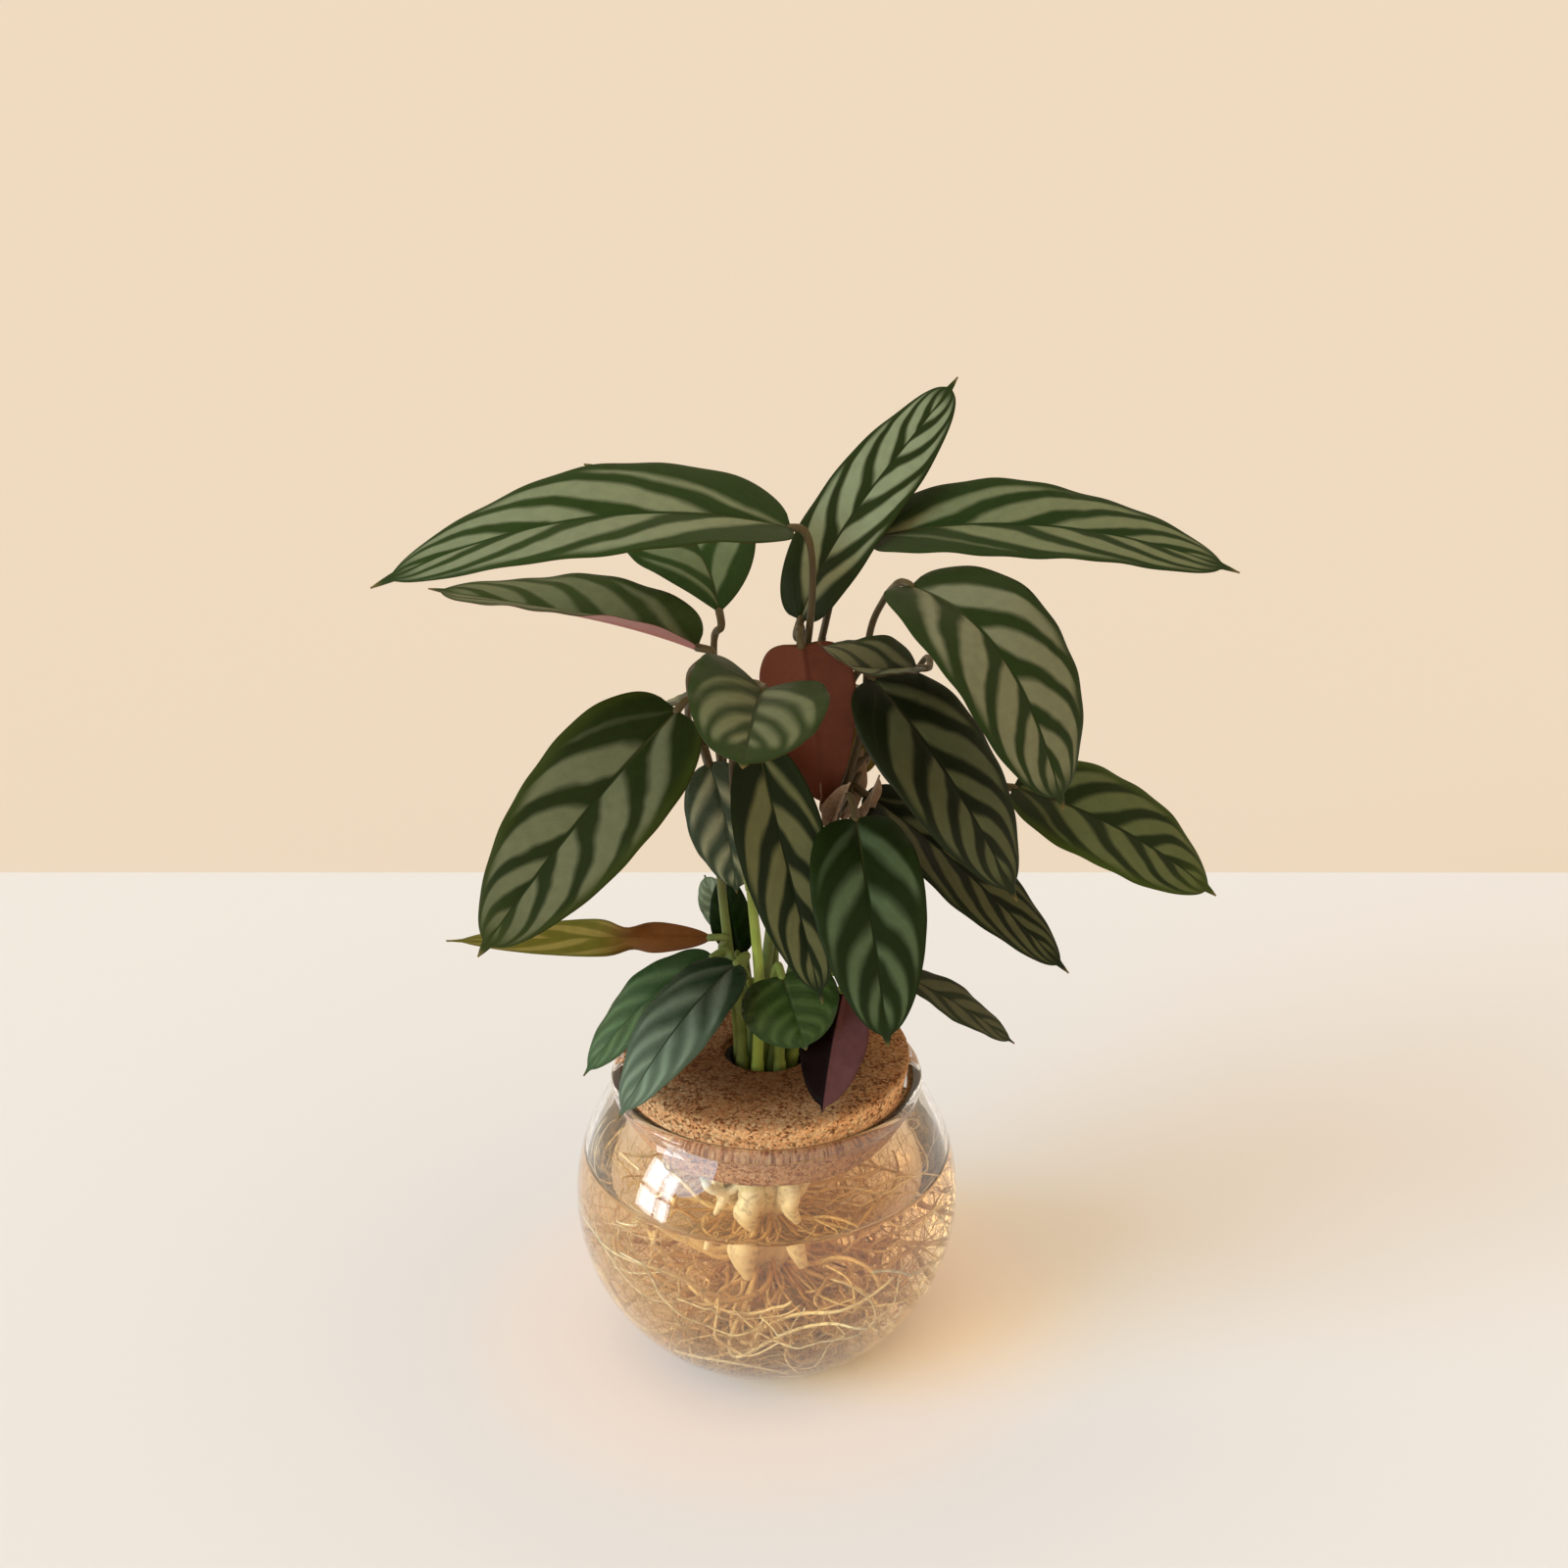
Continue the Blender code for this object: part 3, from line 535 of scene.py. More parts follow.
# %% [markdown]
# ## Foam collar
# A ring of soft black foam fills the gap between the stems and the cork. Foam is a froth of small open
# cells, so its surface is full of pinholes and takes no gloss at all.

# %% The foam collar
COLLAR_INNER = 0.0139
COLLAR_CORNER = 0.0008
COLLAR_STEPS = 120


def foam_finish():
    """Black foam: a cell texture makes the pores, darker and lower than the walls between them."""
    finish = Finish("black_foam", (0.012, 0.012, 0.014), 1.0)
    pores = finish.cells(finish.place(), 1400)["Distance"]
    finish.colour(finish.mix(finish.rise(pores, 0.25, 0.55), (0.003, 0.003, 0.004), (0.022, 0.021, 0.023)))
    finish.bump(pores, 0.0004, 0.8)
    return finish.material


def foam_relief(points):
    """Soft bumps of 0.18 mm, on a surface 0.2 mm below the solid's."""
    return 0.00018 * rough(points, 0.0013, 3) - 0.0002


collar_out = collar_high.x
collar_profile = [
    (COLLAR_INNER, COLLAR_BOTTOM),
    (collar_out - COLLAR_CORNER, COLLAR_BOTTOM),
    (collar_out, COLLAR_BOTTOM + COLLAR_CORNER),
    (collar_out, COLLAR_TOP - COLLAR_CORNER),
    (collar_out - COLLAR_CORNER, COLLAR_TOP),
    (COLLAR_INNER, COLLAR_TOP),
    (COLLAR_INNER, COLLAR_BOTTOM),
]
collar_rings = even(collar_profile, FINE_SPACING)[:-1]
collar = turned("foam_ring", collar_rings, COLLAR_STEPS, foam_finish(), "foam_collar", True, foam_relief)
print("foam faces:", len(collar.data.polygons))

# %% [markdown]
# ## Leaf blades
# A blade is a surface on two numbers: how far along the midrib a point lies, and how far across. The
# midrib is a Bezier curve through the air, and the blade spreads to both sides of it, raised into a
# shallow V, curled down at the edges and waved along them. The table gives each leaf its place.

# %% The numbers of a blade
class Blade(NamedTuple):
    """A leaf blade, in millimetres and degrees.

    base and tip are the ends of its midrib, and face is the way that its upper side looks. arch lifts
    the midrib off the straight line at one third and two thirds of it, towards face, and bend moves it
    to the right there. turn rolls the blade at its base and at its tip, and twist rolls a short length
    about three tenths along. fold raises both halves into a V, curl bends their edges down, wave moves
    the edges up and down, and ear draws the base back into two round lobes. peak under 1 puts the
    widest place nearer the base, and full under 1 makes the ends rounder.
    """

    base: tuple
    tip: tuple
    face: tuple
    width: float
    arch: tuple = (8, 6)
    bend: tuple = (0, 0)
    turn: tuple = (0, 0)
    twist: float = 0
    fold: float = 10
    curl: float = 0.12
    wave: float = 0.8
    ear: float = 0.05
    peak: float = 0.78
    full: float = 0.55


# %% The table of blades
BLADES = {
    "leaf_upper_left": Blade(
        (9, -4, 347), (-138, -30, 335), (5, -40, 100), 50, arch=(26, 24), turn=(-6, 0), fold=13,
        peak=0.68, full=0.6),
    "leaf_upper_left_under": Blade(
        (-25, 6, 296), (-126, 40, 305), (6, 0, 100), 44, arch=(6, 1), fold=26, peak=0.7),
    "leaf_back_left_top": Blade(
        (-17, 18, 305), (-69, 78, 340), (20, -70, 100), 52, arch=(6, 4), bend=(16, 12), peak=0.9,
        full=0.95),
    "leaf_top": Blade(
        (13, 9, 306), (70, 46, 386), (-45, -90, 60), 32, arch=(8, 2), bend=(-8, 0), full=0.42),
    "leaf_upper_right": Blade(
        (40, 22, 333), (172, 10, 324), (0, -38, 100), 42, arch=(19, 17), fold=13, peak=0.64, full=0.5),
    "leaf_right_front": Blade(
        (52, -12, 328), (105, -62, 264), (45, -60, 80), 56, arch=(33, 19), ear=0.22, peak=0.8, full=0.48),
    "leaf_right_shaded": Blade(
        (39, 3, 285), (91, -46, 219), (30, -70, 70), 44, arch=(12, 10), fold=7, peak=0.7),
    "leaf_right_folded": Blade(
        (55, -1, 291), (19, -32, 315), (20, -20, 100), 29, arch=(-5, -10), fold=26, peak=0.62, full=0.75),
    "leaf_mid_right": Blade((93, 12, 236), (169, -5, 199), (20, -50, 90), 44, arch=(11, 10)),
    "leaf_low_right": Blade((37, 2, 238), (113, -25, 177), (30, -45, 80), 34, arch=(8, 4)),
    "leaf_front_right": Blade(
        (33, -24, 241), (44, -84, 180), (0, -75, 60), 42, arch=(16, 12), peak=0.72, full=0.5),
    "leaf_front_centre": Blade((-3, -14, 267), (21, -46, 176), (-10, -85, 45), 34, arch=(4, 0)),
    "leaf_heart": Blade(
        (-1, -40, 300), (-7, -108, 303), (2, -12, 100), 54, arch=(4, 4), turn=(12, 4), fold=20, ear=0.3,
        curl=0.16, peak=0.66, full=0.45),
    "leaf_left_front": Blade(
        (-32, -12, 279), (-103, -64, 206), (-26, -85, 78), 54, arch=(10, 7), peak=0.7, full=0.5),
    "leaf_twisted": Blade(
        (-21, 2, 177), (-123, 12, 170), (0, -20, 100), 15, arch=(2, 0), turn=(70, 40), twist=38,
        full=0.7),
    "leaf_over_rim": Blade((-11, -18, 177), (-54, -66, 139), (-30, -60, 80), 30, arch=(10, 8)),
    "leaf_over_rim_back": Blade((-20, -6, 173), (-69, -28, 134), (-40, -40, 80), 26, arch=(10, 8)),
    "leaf_rim_dark": Blade((-15, -2, 163), (-26, -3, 138), (20, 90, 30), 14, arch=(0, 0)),
    "leaf_small_dark": Blade((-11, 10, 166), (-16, 11, 201), (-10, -90, 30), 17, arch=(2, 2)),
    "leaf_small_round_back": Blade(
        (-15, 24, 170), (-24, 32, 188), (-10, -90, 30), 14, arch=(2, 2), full=0.45),
    "leaf_left_inner": Blade((-21, 0, 252), (-11, -3, 199), (-12, -80, 20), 30, arch=(4, 3), bend=(-4, -2)),
    "leaf_small_round_front": Blade(
        (6, -19, 172), (15, -44, 155), (-10, -60, 70), 38, arch=(3, 3), full=0.45),
    "leaf_purple_hanging": Blade((29, -24, 168), (21, -54, 134), (20, 80, 30), 26, arch=(-4, -4)),
    "leaf_small_right": Blade((52, -2, 163), (96, 4, 129), (30, -40, 70), 16, arch=(3, 3)),
    "leaf_hanging_back": Blade(
        (13, -5, 302), (22, -4, 235), (0, 90, 10), 36, arch=(2, 0), peak=0.56, full=0.55),
    "leaf_mustard": Blade((29, 16, 238), (42, 36, 252), (0, -60, 70), 17, arch=(2, 2)),
    "leaf_back_left": Blade((-18, 32, 262), (-76, 100, 194), (-60, 70, 80), 42, arch=(16, 12)),
    "leaf_back_middle": Blade((3, 28, 266), (6, 108, 202), (0, 80, 80), 40, arch=(16, 12)),
    "leaf_back_right": Blade((32, 32, 262), (74, 100, 202), (50, 75, 80), 42, arch=(14, 12)),
}
print("blades in the table:", len(BLADES))

# %% [markdown]
# ## From a row to a surface
# The outline gives the width at each place along a blade. The midrib gives the place itself, and the
# way that the blade faces there. Fold, curl, wave and ear shape what lies between midrib and edge. Bent
# cards could look alike from one side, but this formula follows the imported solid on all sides.

# %% Outline and midrib of a blade
BASE_WIDTH = 2.6
TIP_WIDTH = 0.7
TWIST_PLACE = 0.31
TWIST_REACH = 0.07


def blade_outline(blade, along):
    """A blade's width as a share of the greatest: sin(pi * along ** peak) ** full, and a short drip tip."""
    body = np.clip(along / 0.95, 0, 1)
    oval = np.sin(math.pi * body**blade.peak).clip(0) ** blade.full
    drip = 0.13 * np.clip((1 - along) / 0.10, 0, 1) ** 0.7
    least = np.where(along > 0.6, TIP_WIDTH, BASE_WIDTH) / blade.width
    return np.maximum(np.where(along > 0.6, np.maximum(oval, drip), oval), least)


def blade_frame(blade, along):
    """Places, directions, sides and normals along a blade's midrib, in metres.

    The midrib is the cubic Bezier curve of base, first, second and tip. The side is level with it,
    rolled by turn and twist.
    """
    base = np.array(blade.base) * MM
    tip = np.array(blade.tip) * MM
    chord = tip - base
    face = np.array(blade.face, float)
    right = unit(np.cross(chord, face))
    lift = unit(np.cross(right, chord))
    first = base + chord / 3 + (lift * blade.arch[0] + right * blade.bend[0]) * MM
    second = base + chord * 2 / 3 + (lift * blade.arch[1] + right * blade.bend[1]) * MM
    t = along[:, None]
    places = base * (1 - t) ** 3 + 3 * first * t * (1 - t) ** 2 + 3 * second * t**2 * (1 - t) + tip * t**3
    ahead = (first - base) * (1 - t) ** 2 + 2 * (second - first) * t * (1 - t) + (tip - second) * t**2
    ahead = unit(ahead)
    level = unit(np.cross(ahead, lift))
    upward = np.cross(level, ahead)
    twist = blade.twist * np.exp(-(((along - TWIST_PLACE) / TWIST_REACH) ** 2))
    roll = np.radians(np.interp(along, [0, 1], blade.turn) + twist)[:, None]
    side = level * np.cos(roll) + upward * np.sin(roll)
    return places, ahead, side, np.cross(side, ahead)


spans = [math.dist(blade.base, blade.tip) for blade in BLADES.values()]
print("blades from", round(min(spans)), "to", round(max(spans)), "mm from end to end")

# %% The middle surface of a blade
def blade_surface(blade, along, across):
    """The middle surface of a blade, as a grid of points: rows run along it, columns across it.

    A point is place + side * width * across * cos(fold) + normal * rise - ahead * back, where rise is
    width * (|across| * sin(fold) - curl * across ** 2), and a sine wave that is highest at the edge.
    """
    places, ahead, side, normal = blade_frame(blade, along)
    outline = blade_outline(blade, along)[:, None]
    width = outline * blade.width / 2 * MM
    spread = across[None, :]
    edge = np.abs(spread)
    fold = np.radians(blade.fold * (1.7 - 1.2 * along[:, None]))
    rise = width * (edge * np.sin(fold) - blade.curl * edge**2)
    waves = np.sin(along[:, None] * 4.4 * math.pi + 1.3 * np.sign(spread) + blade.width)
    rise = rise + blade.wave * MM * waves * edge**2 * outline
    back = blade.ear * blade.width * MM * (edge * outline) ** 1.2 * (1 - along[:, None]) ** 4
    sideways = width * spread * np.cos(fold)
    grid = places[:, None] + side[:, None] * sideways[..., None]
    return grid + normal[:, None] * rise[..., None] - ahead[:, None] * back[..., None]


# %% [markdown]
# ## Relief of a blade
# The real blade is thin, swells along the side veins, and has a strong rib underneath with a groove
# above it. All of that is added to the middle surface as a height, once for each face, so the upper and
# the lower face come out different and meet in a thin margin.

# %% The start of a side vein
SWEEP_NEAR = 0.27
SWEEP_FAR = 0.18
SWEEP_POWER = 5


def vein_start(along, across):
    """Where a side vein leaves the midrib: along - SWEEP_NEAR * |across| - SWEEP_FAR * |across| ** 5."""
    edge = np.abs(across)
    return along - SWEEP_NEAR * edge - SWEEP_FAR * edge**SWEEP_POWER


print("the vein that meets the edge at the tip starts at", round(vein_start(1, 1), 2))

# %% Fine blades
BLADE_MIDDLE = 0.00038
BLADE_MARGIN = 0.00012
LARGE_BLADE = 30
LARGE_GRID = (104, 41)
SMALL_GRID = (62, 27)
RIPPLE = 0.00035
SWELL = 0.00010
GROOVE = 0.00030
RIB = 0.00085
VEIN_COUNT = 15


def blade_faces(blade, seed):
    """Both faces of a blade with their relief, joined round the margin: points, faces, marks and uv.

    Each height is a constant times a shape: ripple is sin(pace * along) * |across| ** 4, swell is
    cos(2 pi VEIN_COUNT * vein_start), and groove and rib are exp(-(distance / width) ** 2).
    """
    rows, columns = LARGE_GRID if blade.width > LARGE_BLADE else SMALL_GRID
    along = 0.35 * (1 - np.cos(np.linspace(0, math.pi, rows))) / 2 + 0.65 * np.linspace(0, 1, rows)
    spread = np.linspace(-1, 1, columns)
    across = 0.55 * spread + 0.45 * spread * np.abs(spread)
    middle = blade_surface(blade, along, across)
    normal = unit(np.cross(np.gradient(middle, axis=1), np.gradient(middle, axis=0)))
    draw = np.random.default_rng(seed)
    edge = np.abs(across)[None, :]
    long = along[:, None]
    outline = blade_outline(blade, along)[:, None]
    distance = edge * outline * blade.width
    ripple = np.sin(long * draw.uniform(30, 42) + 2 * np.sign(across) + draw.uniform(0, 6))
    ripple = RIPPLE * ripple * edge**4 * outline * min(1, blade.width / 40)
    veins = np.cos(2 * math.pi * VEIN_COUNT * vein_start(long, across[None, :]))
    swell = SWELL * veins * np.sin(math.pi * edge) * outline
    groove = -GROOVE * np.exp(-((distance / 1.6) ** 2)) * (1 - 0.7 * long)
    rib = RIB * np.exp(-((distance / 2.0) ** 2)) * (1 - long) ** 0.7
    thick = BLADE_MARGIN + (BLADE_MIDDLE - BLADE_MARGIN) * np.cos(edge * math.pi / 2) ** 0.5
    upper = middle + normal * (ripple + swell + groove + thick)[..., None]
    lower = middle + normal * (ripple + swell - rib - thick)[..., None]
    count = rows * columns
    index = np.arange(count).reshape(rows, columns)
    rim = np.concatenate([index[0], index[1:, -1], index[-1, -2::-1], index[-2:0:-1, 0]])
    after = np.roll(rim, -1)
    blocks = [
        grid_faces(rows, columns),
        grid_faces(rows, columns, first=count)[:, ::-1],
        np.stack([after, rim, count + rim, count + after], 1),
    ]
    points = np.concatenate([upper.reshape(-1, 3), lower.reshape(-1, 3)])
    uv = np.stack(np.broadcast_arrays((across[None, :] + 1) / 2, long), -1).reshape(-1, 2)
    marks = {"upper": np.repeat([1.0, 0.0], count)}
    return points, blocks, marks, np.vstack([uv, uv])


# %% [markdown]
# ## Leaf finish
# Each side vein starts at the midrib and sweeps towards the tip, and the stripes follow it. So the
# finish works out, for every point, where its vein starts, and counts stripes along that number. They
# crowd towards the tip, and those of the two halves don't quite meet at the midrib. The upper face has
# grey-green bands on dark green, and the lower face has one reddish colour.

# %% The looks of the leaves
class Look(NamedTuple):
    """How a leaf is coloured. Colours are shares of red, green and blue light.

    bands counts the pale bands along it, dark is the share of their spacing that stays green, phase
    moves them along, offset moves those of the right half only, and soft blurs their edges. sweep is
    how far a vein runs forward, and the bands end at fade_from. silver and green are the two colours.
    margin tints the edge and the end, by yellow. pale_end whitens the bands towards the end, a painted
    sheen. stem_end and tip colour the two ends of the midrib. under is the lower face, whose left half is
    left_half as bright, a painted shade. Up to brown_from the upper face has its colour too.
    """

    bands: float = 5.0
    dark: float = 0.33
    phase: float = 0.0
    silver: tuple = (0.165, 0.185, 0.095)
    green: tuple = (0.012, 0.029, 0.003)
    margin: tuple = (0.033, 0.061, 0.008)
    yellow: float = 0.15
    under: tuple = (0.120, 0.033, 0.017)
    left_half: float = 1.0
    stem_end: tuple = (0.060, 0.054, 0.015)
    tip: tuple = (0.154, 0.111, 0.030)
    offset: float = 0.35
    soft: float = 0.13
    sweep: float = 0.27
    roughness: float = 0.46
    gloss: float = 0.14
    brown_from: float = 0.0
    fade_from: float = 0.86
    pale_end: float = 0.0


# %% [markdown]
# ## Bands that follow the veins
# An image could carry the stripes, but a formula stays sharp at any distance and can differ from leaf
# to leaf. Two numbers do the work: where the vein of a point starts, and how far the point lies in a
# pale band. Noise bends both a little, because no stripe on a real leaf is quite even.

# %% The bands of a leaf
def band_parts(finish, look, side, edge, along, uneven):
    """Where a vein starts, and how far a point lies in a band and in the blurred ground beside it."""
    far = finish.times(finish.maths("POWER", edge, float(SWEEP_POWER)), SWEEP_FAR)
    start = finish.less(along, finish.plus(finish.times(edge, look.sweep), far))
    start = finish.scaled(uneven, 0.09, start)
    crowd = finish.scaled(finish.maths("ABSOLUTE", start), 0.35 * look.bands, 0.65 * look.bands)
    half = finish.times(finish.maths("GREATER_THAN", side, 0.0), look.offset)
    phase = finish.plus(finish.times(start, crowd), finish.plus(half, look.phase))
    wave = finish.times(finish.maths("PINGPONG", phase, 0.5), 2.0)
    flare = finish.times(finish.less(1.0, finish.rise(edge, 0.0, 0.30)), 0.20)
    fade = finish.times(finish.rise(edge, 0.75, 1.0), 0.25)
    width = finish.scaled(uneven, 0.15, finish.plus(finish.plus(flare, fade), look.dark))
    ridge = finish.less(wave, width)
    band = finish.rise(ridge, -0.3 * look.soft, 1.5 * look.soft)
    halo = finish.rise(ridge, -1.2 * look.soft, 0.2 * look.soft)
    inner = finish.rise(edge, 0.015, 0.05)
    outer = finish.less(1.0, finish.rise(finish.scaled(uneven, 0.16, edge), 0.78, 0.96))
    ended = finish.rise(along, look.fade_from, look.fade_from + 0.09)
    ends = finish.maths("MAXIMUM", finish.less(finish.rise(start, -0.04, 0.05), ended), 0.0)
    inside = finish.times(inner, finish.times(outer, ends))
    return start, finish.times(band, inside), finish.times(halo, inside)


# %% [markdown]
# ## The two faces of a blade
# The upper face is laid down in layers: green ground, pale bands with a soft border, fine lines along
# the veins, a tinted edge, and the midrib on top. The lower face is reddish. A mark in the mesh tells
# the faces apart, so that one material serves both, and the thin margin between them blends.

# %% The finish of a leaf
def leaf_finish(name, look):
    """Stripes that follow the side veins, on the upper face of a leaf, and its lower face."""
    finish = Finish(name, roughness=look.roughness, gloss=look.gloss)
    across, along, _ = finish.split(finish.add("UVMap", {}, uv_map="leaf").outputs[0])
    side = finish.scaled(across, 2.0, -1.0)
    edge = finish.maths("ABSOLUTE", side)
    place = finish.place()
    uneven = finish.less(finish.noise(place, 55), 0.5)
    start, band, halo = band_parts(finish, look, side, edge, along, uneven)
    lines = finish.maths("SINE", finish.times(start, 520.0))
    blotch = finish.noise(place, 240, 3)
    silver_tone = finish.mix(blotch, toned(look.silver, 0.80), toned(look.silver, 1.18))
    green_tone = finish.mix(blotch, toned(look.green, 0.75), toned(look.green, 1.3))
    between = tuple(0.45 * a + 0.38 * b for a, b in zip(look.green, look.silver))
    face = finish.mix(band, finish.mix(halo, green_tone, between), silver_tone)
    face = finish.mix(finish.scaled(lines, 0.04, 0.04), face, look.green)
    yellow = finish.times(finish.rise(finish.maths("MAXIMUM", edge, along), 0.72, 1.0), look.yellow)
    face = finish.mix(yellow, face, look.margin)
    # Painted sheen: the bands are whitened towards the end of the leaf, as far as the look asks.
    pale = finish.rise(finish.scaled(uneven, 0.5, along), 0.15, 0.95)
    pale = finish.times(pale, finish.scaled(band, 0.5 * look.pale_end, 0.5 * look.pale_end))
    face = finish.mix(pale, face, toned(look.silver, 3))
    rib = finish.less(1.0, finish.rise(edge, 0.010, 0.030))
    rib_colour = finish.mix(finish.rise(along, 0.0, 0.35), look.stem_end, look.green)
    face = finish.mix(finish.times(rib, 0.8), face, rib_colour)
    face = finish.mix(finish.rise(along, 0.965, 1.0), face, look.tip)
    under = finish.mix(blotch, toned(look.under, 0.7), toned(look.under, 1.2))
    under = finish.mix(finish.scaled(lines, 0.05, 0.05), under, (0.02, 0.01, 0.01))
    if look.brown_from > 0:
        browned = finish.rise(along, look.brown_from + 0.22, look.brown_from)
        face = finish.mix(browned, face, under)
    # Painted shade: the look's factor darkens the left half of the lower face, for a folded half that turns
    # from the light.
    under = finish.mix(finish.rise(side, -0.03, 0.03), toned(look.under, look.left_half), under)
    finish.colour(finish.mix(finish.mark("upper"), under, face))
    finish.roughness(finish.scaled(blotch, 0.16, look.roughness - 0.08))
    finish.bump(finish.scaled(lines, 0.25, finish.noise(place, 900, 2)), 0.00012, 0.5)
    return finish.material


# %% [markdown]
# ## One look for each leaf
# Leaves of one plant differ. The high ones have pale bands, and the young ones over the lid have a
# smoother skin and blurred stripes. Part of how bright a row's colours are is painted light: the leaves
# in shade get darker colours, which paint their shade. So each leaf has a row. YOUNG and SHADED hold
# what several rows share.

# %% Each leaf's look
YOUNG = Look(
    5, 0.42, 0, (0.048, 0.090, 0.042), (0.011, 0.036, 0.013), margin=(0.020, 0.050, 0.015), yellow=0.1,
    soft=0.40, roughness=0.28, gloss=0.25)
# Painted shade: SHADED gives darker colours to leaves that lie in shade.
SHADED = Look(5, 0.40, 0, (0.078, 0.086, 0.034), (0.004, 0.009, 0.001))
LOOKS = {
    "leaf_upper_left": Look(4.5, 0.36, 0.3, (0.195, 0.225, 0.120), (0.016, 0.038, 0.005), sweep=0.38),
    "leaf_upper_left_under": Look(
        5, 0.33, 0.2, (0.125, 0.140, 0.060), (0.024, 0.042, 0.006), yellow=0.1,
        under=(0.36, 0.15, 0.13)),
    "leaf_back_left_top": Look(6.5, 0.33, 0.6, (0.150, 0.195, 0.090), (0.020, 0.048, 0.007)),
    "leaf_top": Look(5.2, 0.38, 0.1, (0.220, 0.250, 0.135), (0.011, 0.022, 0.002)),
    "leaf_upper_right": Look(5, 0.38, 0.4, (0.155, 0.175, 0.082), (0.011, 0.028, 0.003), sweep=0.36),
    "leaf_right_front": Look(5, 0.36, 0.15, (0.165, 0.175, 0.095), (0.011, 0.026, 0.002)),
    "leaf_right_shaded": SHADED._replace(bands=5, phase=0.5, gloss=0.2),
    "leaf_right_folded": Look(4, 0.2, 0.2, (0.150, 0.165, 0.080), (0.025, 0.037, 0.013)),
    "leaf_mid_right": Look(
        5.2, 0.38, 0.35, (0.095, 0.115, 0.040), (0.008, 0.018, 0.001), margin=(0.062, 0.095, 0.006),
        yellow=0.55),
    "leaf_low_right": SHADED._replace(bands=6, phase=0.7),
    "leaf_front_right": Look(4.2, 0.52, 0.3, (0.070, 0.100, 0.042), (0.005, 0.014, 0.001), soft=0.22),
    "leaf_front_centre": Look(4.6, 0.38, 0.6, (0.118, 0.116, 0.042), (0.005, 0.011, 0.001)),
    "leaf_heart": Look(
        4.8, 0.36, 0.25, (0.135, 0.155, 0.072), (0.018, 0.036, 0.006), sweep=0.42, soft=0.30,
        fade_from=0.76),
    "leaf_left_front": Look(
        4.6, 0.36, 0.45, (0.125, 0.132, 0.062), (0.009, 0.019, 0.001), margin=(0.046, 0.060, 0.005),
        yellow=0.5),
    "leaf_twisted": Look(
        4, 0.5, 0, (0.255, 0.192, 0.038), (0.116, 0.100, 0.008), margin=(0.140, 0.122, 0.014),
        yellow=0.3, under=(0.175, 0.058, 0.009), brown_from=0.24),
    # Painted sheen: on the two young leaves over the rim the bands are whitened towards the end.
    "leaf_over_rim": YOUNG._replace(
        dark=0.4, phase=0.2, silver=(0.094, 0.127, 0.084), green=(0.008, 0.026, 0.010), gloss=0.2,
        pale_end=0.65),
    "leaf_over_rim_back": YOUNG._replace(
        phase=0.5, silver=(0.066, 0.125, 0.046), green=(0.020, 0.056, 0.014), pale_end=0.2),
    "leaf_rim_dark": YOUNG._replace(under=(0.021, 0.011, 0.006)),
    "leaf_small_dark": YOUNG._replace(
        silver=(0.010, 0.029, 0.003), green=(0.006, 0.018, 0.002), gloss=0.08),
    "leaf_small_round_back": YOUNG._replace(silver=(0.32, 0.36, 0.19), green=(0.16, 0.20, 0.10)),
    "leaf_left_inner": YOUNG._replace(
        bands=4, dark=0.50, silver=(0.330, 0.360, 0.210), green=(0.038, 0.064, 0.026), soft=0.3),
    "leaf_small_round_front": YOUNG._replace(silver=(0.054, 0.098, 0.021), green=(0.019, 0.046, 0.006)),
    # Painted shade: the left half of this folded leaf is nearly black.
    "leaf_purple_hanging": YOUNG._replace(under=(0.118, 0.046, 0.043), left_half=0.05, gloss=0.04),
    "leaf_small_right": Look(4, 0.33, 0, (0.086, 0.091, 0.042), (0.019, 0.028, 0.009)),
    "leaf_hanging_back": Look(under=(0.130, 0.034, 0.014)),
    "leaf_mustard": Look(
        2, 0.33, 0, (0.187, 0.140, 0.011), (0.124, 0.093, 0.005), margin=(0.132, 0.099, 0.009),
        roughness=0.5),
    "leaf_back_left": Look(phase=0.1),
    "leaf_back_middle": Look(phase=0.55),
    "leaf_back_right": Look(phase=0.8),
}
print("looks in the table:", len(LOOKS))

# %% [markdown]
# ## All blades
# One loop makes the mesh and the finish of every leaf. A leaf's number in the table is the seed of its
# ripples, so that no two are alike.

# %% The blades
triangles = 0
for number, (node, blade) in enumerate(BLADES.items()):
    points, blocks, marks, uv = blade_faces(blade, number)
    finish = leaf_finish(node.replace("leaf", "stripes"), LOOKS[node])
    made = new_piece(node.replace("leaf", "blade"), points, blocks, finish, node, marks, uv)
    triangles += 2 * len(made.data.polygons)
print("blades:", len(BLADES), "with", triangles, "triangles")

# %% [markdown]
# ## Stems
# Eleven canes stand on the crown, and leaf stalks branch off them. The canes go through the collar in a
# tight bunch, so each has fixed places below and above it. The rest of a stalk follows a few points,
# and ends at the base of its leaf.

# %% The numbers of a stalk
class Stalk(NamedTuple):
    """A round stalk through points in millimetres, from radius thick to radius thin.

    It ends just short of the base of its leaf, if it has one.
    """

    points: tuple
    thick: float
    thin: float
    leaf: str = ""


def risen(foot, hole, *above):
    """A cane's points: upright on the crown at foot, upright through the collar at hole, then above."""
    foot_top = CROWN_TOP / MM + 5
    low, high = COLLAR_BOTTOM / MM - 3, COLLAR_TOP / MM + 4
    start = ((*foot, CROWN_TOP / MM), (*foot, foot_top), (*hole, low), (*hole, high))
    return start + above


